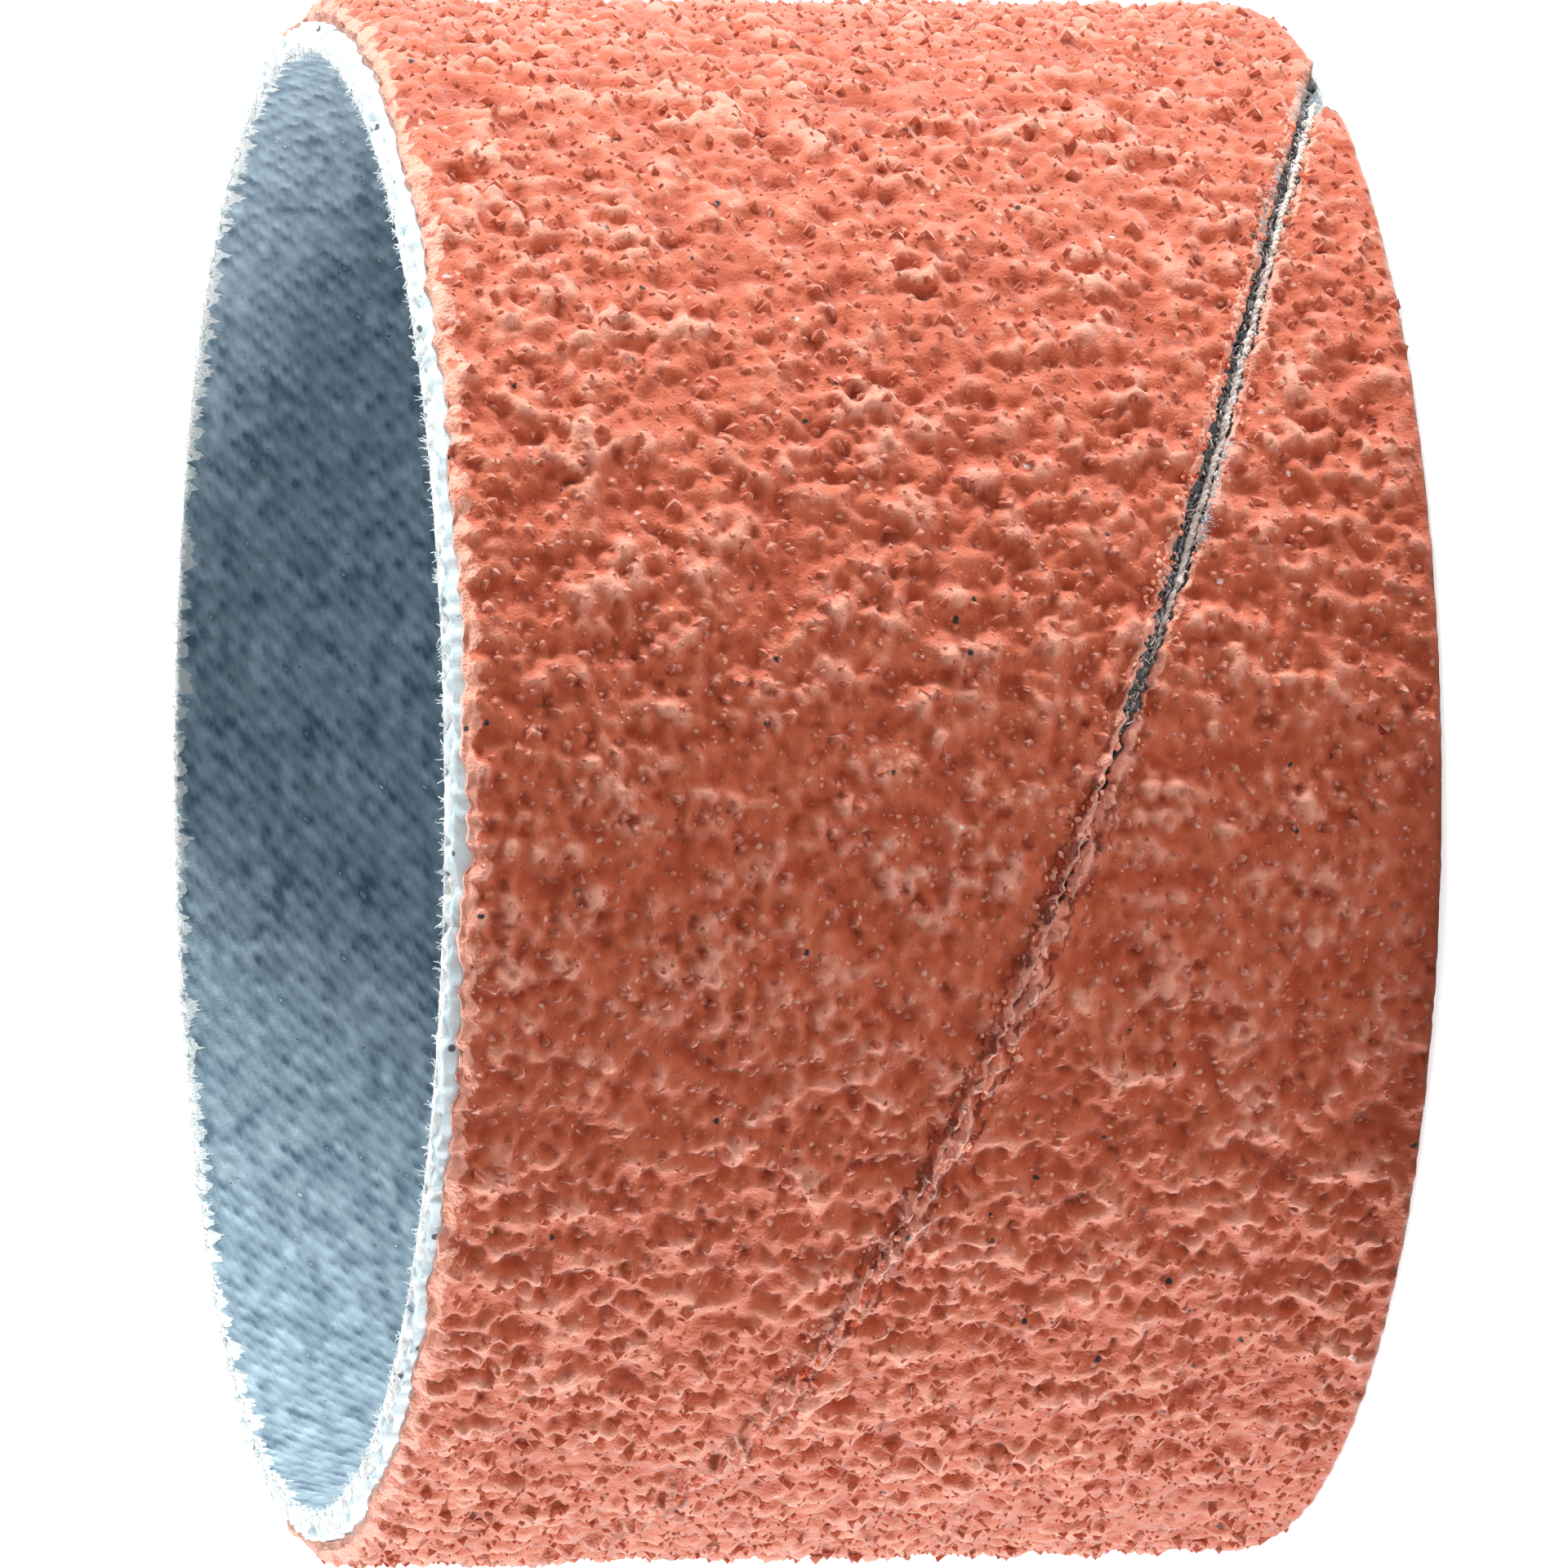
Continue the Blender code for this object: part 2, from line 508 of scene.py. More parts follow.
@dataclass(frozen=True)
class CoatFinish:
    """Resin-bound grain, brick red with painted shade darkening its hollows and pits, and salmon on its
    ridges, paled there by dust and a painted highlight.
    """

    # The pit and hollow colours are painted shade, and the ridge colour is dust with a painted highlight.
    pit: Colour = (0.27, 0.030, 0.006, 1.0)
    hollow_shade: Colour = (0.47, 0.062, 0.016, 1.0)
    body: Colour = (0.62, 0.122, 0.050, 1.0)
    ridge: Colour = (0.86, 0.350, 0.245, 1.0)
    crumb: Colour = (0.99, 0.41, 0.29, 1.0)
    speck: Colour = (0.008, 0.010, 0.018, 1.0)
    crack: Colour = (0.27, 0.030, 0.006, 1.0)
    glint: Colour = (0.95, 0.72, 0.64, 1.0)
    dust: Colour = (0.93, 0.50, 0.38, 1.0)
    sheen_tint: Colour = (1.0, 0.85, 0.78, 1.0)
    crack_reach: float = 1.5
    crack_lanes: tuple[tuple[float, ...], ...] = ((0.32, 0.15, 0.46, 0.54), (0.56, 0.10, 0.56, 0.48))
    crumb_depth: float = 1.5
    bump_reach: float = 0.07 * MM

    def make(self, shop: Shop) -> Material:
        """Builds the coat's material, which reads the coat's point values."""
        material, net, shader = new_material("sleeve_grain_coat")
        place = net.place()
        grain = shop.use(net, shop.grain, place)
        lift = net.point_value("lift")
        crumble = net.point_value("crumble")
        # Pits, the modelled ones and the shader's colour-only ones, are painted dark as their shade.
        pit = net.larger(net.point_value("pit"), net.times(grain.outputs["Pit Shade"], 0.6))
        patch = net.times(net.minus(grain.outputs["Mottle"], 0.5), 0.65)
        level = net.plus(lift, patch)
        # Colour follows the face's height: darker low down as painted shade of the hollows, paler high up as
        # dust on the ridges and a painted highlight.
        colour = net.mix(net.span(level, 0.10, 0.55), self.hollow_shade, self.body)
        colour = net.mix(net.span(level, 0.50, 1.05), colour, self.ridge)
        colour = net.mix(net.times(pit, 0.9), colour, self.pit)
        ragged_place = net.jumbled(place, 5200.0, 0.00016)
        dusty = net.span(net.noise(place, 600.0, 1.0), 0.42, 0.60)
        dust = net.span(net.cells(ragged_place, 1900.0), 0.21, 0.10)
        colour = net.mix(net.times(dust, net.times(dusty, 0.8)), colour, self.dust)
        crumbled = net.span(net.plus(crumble, net.times(patch, 3.0)), 0.36, 0.70)
        colour = net.mix(crumbled, colour, self.crumb)
        rare = net.noise(place, 200.0, 1.0)
        spots = net.cells(ragged_place, 750.0)
        specks = net.times(net.span(spots, 0.095, 0.055), net.span(rare, 0.50, 0.58))
        colour = net.mix(specks, colour, self.speck)
        flakes = net.times(net.span(spots, 0.10, 0.05), net.span(rare, 0.42, 0.34))
        colour = net.mix(flakes, colour, self.glint)
        cracked = self.seam_cracks(net, place)
        colour = net.mix(cracked, colour, self.crack)
        torn = net.plus(1.0, net.times(crumble, self.crumb_depth))
        relief = net.times(grain.outputs["Height"], torn)
        normal = net.bump(relief, 1.0, self.bump_reach)
        net.feed_all(shader, {
            "Base Color": colour, "Roughness": 0.70, "Specular IOR Level": 0.22, "Sheen Weight": 1.0,
            "Sheen Roughness": 0.50, "Sheen Tint": self.sheen_tint, "Normal": normal,
        })
        return material

    def seam_cracks(self, net: NodeNet, place: Socket) -> Socket:
        """Draws the broken cracks that run along both sides of the closed seam.

        The coat's "beside" value, in millimetres, is crack_reach at the seam's edge and falls to 0 beside it.

        Args:
            net: Net of the coat's material.
            place: Socket of the object coordinates.

        Returns:
            The socket of the cracks' mask.
        """
        wobble = net.minus(net.noise(place, 2100.0, 2.0, 0.6), 0.5)
        away = net.minus(self.crack_reach, net.point_value("beside"))
        away = net.plus(away, net.times(wobble, 0.8))
        mask: object = 0.0
        gaps = net.noise(place, 900.0, 1.0)
        for offset, width, broken_from, whole_from in self.crack_lanes:
            lane = net.math("ABSOLUTE", net.minus(away, offset))
            whole = net.span(gaps, broken_from, whole_from)
            mask = net.larger(mask, net.times(net.span(lane, width, 0.4 * width), whole))
        return net.times(mask, net.point_value("broken"))


@dataclass(frozen=True)
class ClothFinish:
    """Resin-stiffened twill: blue-grey on its faces and white where it was cut, with painted shade in the
    weave's dips and a painted shadow where the seam gapes.
    """

    length: float
    # The darker colour here, the weft's, also serves as painted shade in the weave's dips.
    weft_and_dip_shade: Colour = (0.10, 0.17, 0.24, 1.0)
    warp: Colour = (0.54, 0.68, 0.77, 1.0)
    cut: Colour = (0.93, 0.95, 0.94, 1.0)
    sized: Colour = (0.74, 0.86, 0.91, 1.0)
    speck: Colour = (0.10, 0.11, 0.12, 1.0)
    # Painted shadow of the gaping seam's groove.
    gap: Colour = (0.08, 0.07, 0.07, 1.0)
    tooth_stretch: tuple[float, float, float] = (1.0, 1.0, 0.25)

    def make(self, shop: Shop) -> Material:
        """Builds the cloth's material, which reads the cloth's point values."""
        material, net, shader = new_material("sleeve_backing_twill")
        place = net.place()
        fuzz = shop.use(net, shop.fibre, place)
        warp_share = net.point_value("warp")
        cut_share = net.point_value("cut")
        sized_share = net.point_value("sized")
        patch = net.times(net.minus(fuzz.outputs["Mottle"], 0.5), 1.2)
        # Pale on the floats and dark in the dips, the dark end being painted shade of the weave's hollows.
        colour = net.mix(net.plus(warp_share, patch, clamp=True), self.weft_and_dip_shade, self.warp)
        colour = net.mix(sized_share, colour, self.sized)
        teeth = net.times(self.rim_teeth(net, place), net.minus(1.0, sized_share))
        ragged = net.plus(net.larger(cut_share, teeth), net.times(patch, 1.6))
        colour = net.mix(net.span(ragged, 0.35, 0.65), colour, self.cut)
        bare = net.plus(cut_share, sized_share, clamp=True)
        specks = net.span(net.cells(place, 900.0), 0.13, 0.08)
        colour = net.mix(net.times(specks, bare), colour, self.speck)
        # The open seam's groove is painted near black as its shadow, with ragged edges.
        grit = net.times(net.minus(net.noise(place, 5500.0, 2.0), 0.5), 2.0)
        gap = net.span(net.plus(net.point_value("gap"), grit), 0.40, 0.60)
        colour = net.mix(gap, colour, self.gap)
        fluffy = net.times(fuzz.outputs["Height"], net.plus(0.6, net.times(ragged, 1.6)))
        normal = net.bump(fluffy, 0.7, 0.05 * MM)
        net.feed_all(shader, {"Base Color": colour, "Roughness": 0.9, "Sheen Weight": 0.2, "Normal": normal})
        return material

    def rim_teeth(self, net: NodeNet, place: Socket) -> Socket:
        """Draws the cut warp yarns' white ends, which reach unevenly down the bore from its rim.

        Args:
            net: Net of the cloth's material.
            place: Socket of the object coordinates.

        Returns:
            The socket of the teeth's mask.
        """
        parts = net.add("ShaderNodeSeparateXYZ", {"Vector": place})
        depth = net.times(net.minus(self.length, parts.outputs["Z"]), 1.0 / MM)
        upright = net.add("ShaderNodeVectorMath", {0: place, 1: self.tooth_stretch}, operation="MULTIPLY")
        uneven = net.minus(net.noise(upright.outputs["Vector"], 1900.0, 3.0, 0.6), 0.36)
        return net.span(net.minus(net.times(uneven, 1.9), depth), -0.14, 0.10)


@dataclass(frozen=True)
class FibreFinish:
    """Plain spun fibre in one of the shades that the cut edges show."""

    name: str
    pale: Colour
    deep: Colour

    def make(self, shop: Shop) -> Material:
        """Builds the fibre's material."""
        material, net, shader = new_material(self.name)
        fuzz = shop.use(net, shop.fibre, net.place())
        colour = net.mix(net.span(fuzz.outputs["Mottle"], 0.36, 0.62), self.deep, self.pale)
        normal = net.bump(fuzz.outputs["Height"], 0.6, 0.03 * MM)
        net.feed_all(shader, {"Base Color": colour, "Roughness": 0.9, "Sheen Weight": 0.25, "Normal": normal})
        return material


@dataclass
class Strand:
    """One column of a wound mesh: its points from bottom to top, each under a row key."""

    keys: list[float] = field(default_factory=list)
    points: list[int] = field(default_factory=list)

    def add(self, key: float, point: int) -> None:
        """Adds a point under its row key."""
        self.keys.append(key)
        self.points.append(point)


def zip_strands(draft: MeshDraft, near: Strand, far: Strand) -> None:
    """Joins two neighbouring strands with quads, and with triangles where a row starts or ends.

    Args:
        draft: Mesh that takes the faces.
        near: One strand.
        far: The next strand.
    """
    i = j = 0
    while i < len(near.keys) - 1 or j < len(far.keys) - 1:
        near_next = near.keys[i + 1] if i < len(near.keys) - 1 else math.inf
        far_next = far.keys[j + 1] if j < len(far.keys) - 1 else math.inf
        if near_next == far_next:
            draft.faces.append((near.points[i], far.points[j], far.points[j + 1], near.points[i + 1]))
            i += 1
            j += 1
        elif near_next < far_next:
            draft.faces.append((near.points[i], far.points[j], near.points[i + 1]))
            i += 1
        else:
            draft.faces.append((near.points[i], far.points[j], far.points[j + 1]))
            j += 1


def join_round(draft: MeshDraft, loops: list[Strand]) -> None:
    """Joins closed loops, each to the next one and the last to the first."""
    for near, far in zip(loops, loops[1:] + loops[:1]):
        zip_strands(draft, near, far)


@dataclass
class AbrasiveCoat:
    """The grained coat: a strip wound once round the cloth, whose two edges face each other at the seam."""

    sizes: SleeveSizes
    seam: SeamPath
    columns: int = 960
    row_pitch: float = 0.156 * MM
    edge_rows: tuple[float, ...] = (0.0, 0.05 * MM, 0.11 * MM, 0.18 * MM, 0.27 * MM)
    bottom_key: float = -1000.0
    top_key: float = 2000.0
    panel_cuts: tuple[float, float] = (math.radians(8), math.radians(127))
    least_height: float = 0.6 * MM
    swell: float = 0.14 * MM
    swell_pitch: float = 1.8 * MM
    ripple: float = 0.28 * MM
    ripple_pitch: float = 0.84 * MM
    ripple_stretch: float = 1.5
    chip: float = 0.26 * MM
    chip_pitch: float = 0.40 * MM
    fine: float = 0.04 * MM
    fine_pitch: float = 0.20 * MM
    pit_depth: float = 0.14 * MM
    pit_pitch: float = 0.95 * MM
    pit_reach: float = 0.26 * MM
    jag: float = 0.09 * MM
    jag_pitch: float = 0.22 * MM
    jag_seeds: tuple[float, float, float] = (15.0, 25.0, 35.0)
    lip_tear: float = 0.22 * MM
    lip_tear_pitch: float = 0.28 * MM
    rim_round: float = 0.30 * MM
    rim_reach: float = 0.50 * MM
    rim_tear: float = 0.42 * MM
    lip_rise: float = 0.50 * MM
    lip_width: float = 0.19 * MM
    lip_reach: float = 1.5 * MM
    lip_drop: float = 0.16 * MM
    crumb_rise: float = 0.20 * MM
    crumb_pitch: float = 0.30 * MM
    weak_side: float = 0.6
    foot_calm: float = 1.3 * MM

    def grain(self, angle: float, height: float) -> tuple[float, float]:
        """Returns the face's relief at a point.

        Args:
            angle: Angle of the point.
            height: Height of the point.

        Returns:
            The rise above the mean face, and how deep in a pit the point lies, from 0 to 1; the coat's colour
            darkens with this share as painted shade.
        """
        place = around_axis(self.sizes.coat_radius, angle, height)
        jagged = place + self.jag * Vector([rough(place, self.jag_pitch, seed) for seed in self.jag_seeds])
        lying = Vector((jagged.x, jagged.y, jagged.z / self.ripple_stretch))
        swell = rough(lying, self.swell_pitch, 12.0)
        rise = self.swell * swell + self.ripple * rough(lying, self.ripple_pitch, 7.0)
        rise += self.chip * (1.0 + 0.8 * swell) * rough(jagged, self.chip_pitch, 3.3)
        rise += self.fine * rough(place, self.fine_pitch, 1.7)
        pit = hollow_share(jagged, self.pit_pitch, self.pit_reach, 5.0)
        calm = smooth_step(-0.5 * self.foot_calm, self.foot_calm, height)
        return calm * (rise - self.pit_depth * pit), min(1.5 * pit, 1.0)

    def lip(self, angle: float, height: float) -> tuple[float, float, float, float]:
        """Returns what the seam does to the face at a point.

        Args:
            angle: Angle of the point.
            height: Height of the point.

        Returns:
            The rise of the lips, their share of crumbled, pale resin, how near the seam is in millimetres and
            how strongly the closed seam has cracked the face.
        """
        across = self.seam.across(angle, height)
        if abs(across) > self.lip_reach:
            return 0.0, 0.0, 0.0, 0.0
        closed = 1.0 - self.seam.openness(height)
        side = 1.0 if across > 0 else self.weak_side
        place = around_axis(self.sizes.coat_radius, angle, height)
        broken = 0.5 + 1.5 * rough(place, 0.36 * MM, 11.0)
        fade = 1.0 - 0.75 * smooth_step(0.5 * self.sizes.length, 0.95 * self.sizes.length, height)
        edge = abs(across) - self.seam.half_gap(height) * math.cos(self.seam.slope)
        ridge = math.exp(-((edge - self.lip_width) / self.lip_width) ** 2)
        rise = self.lip_rise * ridge * closed * fade * side * max(broken, 0.0)
        reach = (0.18 + 0.10 * closed) * MM
        shade = 1.1 * math.exp(-(max(edge - 0.04 * MM, 0.0) / reach) ** 2) * fade * (0.55 + 0.45 * side)
        near = (self.lip_reach - max(edge, 0.0)) / MM
        return rise, min(max(shade * (0.6 + 0.7 * broken), 0.0), 1.0), near, closed * fade

    def face_point(self, draft: MeshDraft, angle: float, height: float, to_bottom: float, to_top: float,
                   ends: tuple[End, End]) -> int:
        """Adds one point of the grained face.

        Args:
            draft: Mesh that takes the point.
            angle: Angle of the point.
            height: Height of the point.
            to_bottom: Distance to the strip's lower edge.
            to_top: Distance to the strip's upper edge.
            ends: What the lower and the upper edge are.

        Returns:
            The point's index.
        """
        rise, pit = self.grain(angle, height)
        lip_rise, lip_shade, near, broken = self.lip(angle, height)
        place = around_axis(self.sizes.coat_radius, angle, height)
        crumble = lip_shade
        drop = 0.0
        for distance, end in ((to_bottom, ends[0]), (to_top, ends[1])):
            if end is End.RIM:
                at_top = distance == to_top
                reach, round_off = (1.0, 1.0) if at_top else (0.3, 0.35)
                share = 1.0 - smooth_step(0.0, self.rim_reach * reach, distance)
                drop += self.rim_round * share * round_off
                if at_top:
                    ragged = distance + 0.5 * MM * rough(place, 0.45 * MM, 2.2)
                    crumble = max(crumble, 0.85 - smooth_step(0.20 * MM, 0.70 * MM, ragged))
            else:
                drop += self.lip_drop * (1.0 - smooth_step(0.0, self.lip_drop, distance))
        crumbs = crumble * self.crumb_rise * rough(place, self.crumb_pitch, 9.0)
        # The lift, the point's height share, darkens the colour in hollows as painted shade and pales it on
        # ridges as dust and a painted highlight.
        lift = 0.5 + rise / (self.ripple + self.chip)
        radius = self.sizes.coat_radius + rise * (1.0 - 0.4 * crumble) + lip_rise - drop + crumbs
        return draft.add_point(around_axis(radius, angle, height), lift=lift, crumble=crumble, pit=pit,
                               beside=near, broken=broken)

    def face_heights(self, angle: float) -> tuple[list[tuple[float, float]], tuple[End, End]] | None:
        """Lays out one strand of the face.

        Args:
            angle: Angle of the strand, counted on through the strip's whole winding.

        Returns:
            The row keys and heights from bottom to top and what the two edges are, or None where the strip
            is too low to matter.
        """
        seam_height = self.seam.height_at(angle)
        bottom_rim = self.sizes.coat_foot_setback
        top_rim = self.sizes.length - self.sizes.coat_top_setback
        place = around_axis(self.sizes.coat_radius, angle, 0.0)
        torn = 0.3 + 0.5 * rough(place, 0.5 * MM, 4.0) + 0.6 * rough(place, 3.0 * MM, 8.0)
        top_rim -= self.rim_tear * torn
        low_lip = seam_height + self.seam.half_gap(seam_height)
        low_lip += self.lip_tear * rough(place + UP * seam_height, self.lip_tear_pitch, 6.0)
        high_seam = seam_height + self.seam.lead
        high_lip = high_seam - self.seam.half_gap(high_seam)
        high_lip += self.lip_tear * rough(place + UP * high_seam, self.lip_tear_pitch, 13.0)
        ends = (End.LIP if low_lip > bottom_rim else End.RIM, End.LIP if high_lip < top_rim else End.RIM)
        bottom = max(low_lip, bottom_rim)
        top = min(high_lip, top_rim)
        if top - bottom < self.least_height:
            return None
        last = self.edge_rows[-1]
        squeeze = min(1.0, (top - bottom) / (2.5 * last))
        rows: list[tuple[float, float]] = []
        for step, offset in enumerate(self.edge_rows):
            rows.append((self.bottom_key + step, bottom + offset * squeeze))
        first = math.ceil((rows[-1][1] + 0.4 * self.row_pitch - seam_height) / self.row_pitch)
        final = math.floor((top - last - 0.4 * self.row_pitch - seam_height) / self.row_pitch)
        rows += [(float(row), seam_height + row * self.row_pitch) for row in range(first, final + 1)]
        for step, offset in reversed(list(enumerate(self.edge_rows))):
            rows.append((self.top_key - step, top - offset * squeeze))
        return rows, ends

    def add_column(self, draft: MeshDraft, angle: float) -> tuple[Strand, Strand, Strand] | None:
        """Adds one column of the strip: its grained face, its lower edge and back, and its upper edge.

        Args:
            draft: Mesh that takes the points.
            angle: Angle of the column, counted on through the strip's whole winding.

        Returns:
            The three strands, or None where the strip is too low to matter.
        """
        laid = self.face_heights(angle)
        if laid is None:
            return None
        rows, ends = laid
        bottom, top = rows[0][1], rows[-1][1]
        face = Strand()
        for key, height in rows:
            face.add(key, self.face_point(draft, angle, height, height - bottom, top - height, ends))
        back_radius = self.sizes.coat_back_radius
        middle_radius = back_radius + 0.4 * self.sizes.coat_thickness
        lower = [self.wall_point(draft, back_radius, angle, bottom),
                 self.wall_point(draft, middle_radius, angle, bottom + 0.02 * MM), face.points[0]]
        upper = [face.points[-1], self.wall_point(draft, middle_radius, angle, top - 0.02 * MM),
                 self.wall_point(draft, back_radius, angle, top), lower[0]]
        return face, Strand([0.0, 1.0, 2.0], lower), Strand([0.0, 1.0, 2.0, 3.0], upper)

    def build_panel(self, name: str, start: float, stop: float, material: Material) -> None:
        """Winds one panel of the strip between two angles and closes both its ends.

        Args:
            name: Name of the panel.
            start: Angle at which it starts.
            stop: Angle at which it stops.
            material: Material that it wears.
        """
        draft = MeshDraft()
        step = FULL_TURN / self.columns
        previous: tuple[Strand, Strand, Strand] | None = None
        for column in range(round(start / step), round(stop / step) + 1):
            strands = self.add_column(draft, column * step)
            if strands is None:
                continue
            if previous is None:
                self.close_end(draft, strands)
            else:
                for near, far in zip(previous, strands):
                    zip_strands(draft, near, far)
            previous = strands
        if previous is not None:
            self.close_end(draft, previous)
        settle(draft.make_piece(name, material), Slot.COAT, Node.COAT)

    def build(self, material: Material) -> None:
        """Winds the whole strip in three panels that meet on the sleeve's far side."""
        cuts = (self.seam.angle_at(self.sizes.length), *self.panel_cuts, self.seam.foot_angle + FULL_TURN)
        names = ("coat_above_seam", "coat_far_side", "coat_below_seam")
        for name, start, stop in zip(names, cuts, cuts[1:]):
            self.build_panel(name, start, stop, material)

    def wall_point(self, draft: MeshDraft, radius: float, angle: float, height: float) -> int:
        """Adds one point of the strip's edge or back, which wears the pale crumbled resin."""
        return draft.add_point(around_axis(radius, angle, height), lift=0.6, crumble=0.6, pit=0.0,
                               beside=0.0, broken=0.0)

    def close_end(self, draft: MeshDraft, strands: tuple[Strand, Strand, Strand]) -> None:
        """Closes a panel's end with one flat face."""
        face, lower, upper = strands
        draft.faces.append(tuple(lower.points[:-1] + face.points + upper.points[1:-1]))


@dataclass
class GritGrains:
    """Abrasive grains that stand out of the resin, each with its own blunt, angular shape."""

    coat: AbrasiveCoat
    coarse_pitch: float = 0.68 * MM
    coarse_size: tuple[float, float] = (0.11 * MM, 0.23 * MM)
    fine_pitch: float = 0.50 * MM
    fine_size: tuple[float, float] = (0.06 * MM, 0.12 * MM)
    sink: float = 0.06 * MM
    crisp: float = math.radians(25)
    margin: float = 0.55 * MM
    seam_margin: float = 0.34 * MM
    seed: int = 8

    def add_grain(self, draft: MeshDraft, angle: float, height: float, size: float, sides: int,
                  chance: random.Random) -> None:
        """Adds one flat-sided, pointed grain, sunk into the coat's face.

        Args:
            draft: Mesh that takes the grain.
            angle: Angle of the grain.
            height: Height of the grain.
            size: Its mean radius.
            sides: Number of its sides.
            chance: Source of its shape.
        """
        rise, _ = self.coat.grain(angle, height)
        outward, across = around_directions(angle)
        foot = around_axis(self.coat.sizes.coat_radius + rise - self.sink, angle, height)
        corners: list[int] = []
        for corner in range(sides):
            turn = FULL_TURN * (corner + chance.uniform(-0.3, 0.3)) / sides
            reach = size * chance.uniform(0.65, 1.35)
            place = foot + (across * math.cos(turn) + UP * 1.2 * math.sin(turn)) * reach
            # The grain's foot is painted a little dark, as the shade where it meets the face.
            corners.append(draft.add_point(place, lift=0.3, crumble=0.0, pit=0.25))
        draft.faces.append(tuple(reversed(corners)))
        tall = size * chance.uniform(0.7, 1.1) + self.sink
        lean = across * chance.gauss(0.0, 0.35) * size + UP * chance.gauss(0.0, 0.35) * size
        # The tip takes a high lift, which paints it pale like a ridge, as dust and a painted highlight.
        tip = draft.add_point(foot + outward * tall + lean, lift=0.85, crumble=0.0, pit=0.0)
        for corner in range(sides):
            draft.faces.append((corners[corner - 1], corners[corner], tip))

    def scatter(self, draft: MeshDraft, pitch: float, sizes: tuple[float, float], sides: int,
                chance: random.Random) -> None:
        """Scatters grains of one size over the whole face, leaving out the edges and the seam.

        Args:
            draft: Mesh that takes the grains.
            pitch: Spacing of the grains.
            sizes: Least and greatest radius of a grain.
            sides: Number of sides of each grain.
            chance: Source of their places and shapes.
        """
        length = self.coat.sizes.length
        radius = self.coat.sizes.coat_radius
        columns = round(FULL_TURN * radius / pitch)
        rows = round(length / pitch)
        for column in range(columns):
            for row in range(rows):
                angle = FULL_TURN * (column + chance.uniform(-0.5, 0.5)) / columns
                height = length * (row + 0.5 + chance.uniform(-0.5, 0.5)) / rows
                size = sizes[0] + (sizes[1] - sizes[0]) * chance.random() ** 1.6
                crowd = rough(around_axis(radius, angle, height), 2.4 * MM, 31.0)
                inside = 0.5 * self.margin < height < length - 1.6 * self.margin
                if not inside or crowd < chance.uniform(-0.9, -0.1):
                    continue
                if abs(self.coat.seam.across(angle, height)) < self.seam_margin + size:
                    continue
                self.add_grain(draft, angle, height, size, sides, chance)

    def build(self, material: Material) -> None:
        """Makes the coarse and the fine grains."""
        chance = random.Random(self.seed)
        kinds = (
            ("coarse_grit", self.coarse_pitch, self.coarse_size, 6),
            ("fine_grit", self.fine_pitch, self.fine_size, 4),
        )
        for name, pitch, sizes, sides in kinds:
            draft = MeshDraft()
            self.scatter(draft, pitch, sizes, sides, chance)
            settle(draft.make_piece(name, material, sharp=self.crisp), Slot.COAT, Node.COAT)


def cloth_point(draft: MeshDraft, place: Vector, warp: float = 0.5, cut: float = 0.0, sized: float = 0.0,
                gap: float = 0.0) -> int:
    """Adds a point of cloth with its shares of warp, cut yarn, bare sizing and the open gap's painted shadow.
    """
    return draft.add_point(place, warp=warp, cut=cut, sized=sized, gap=gap)


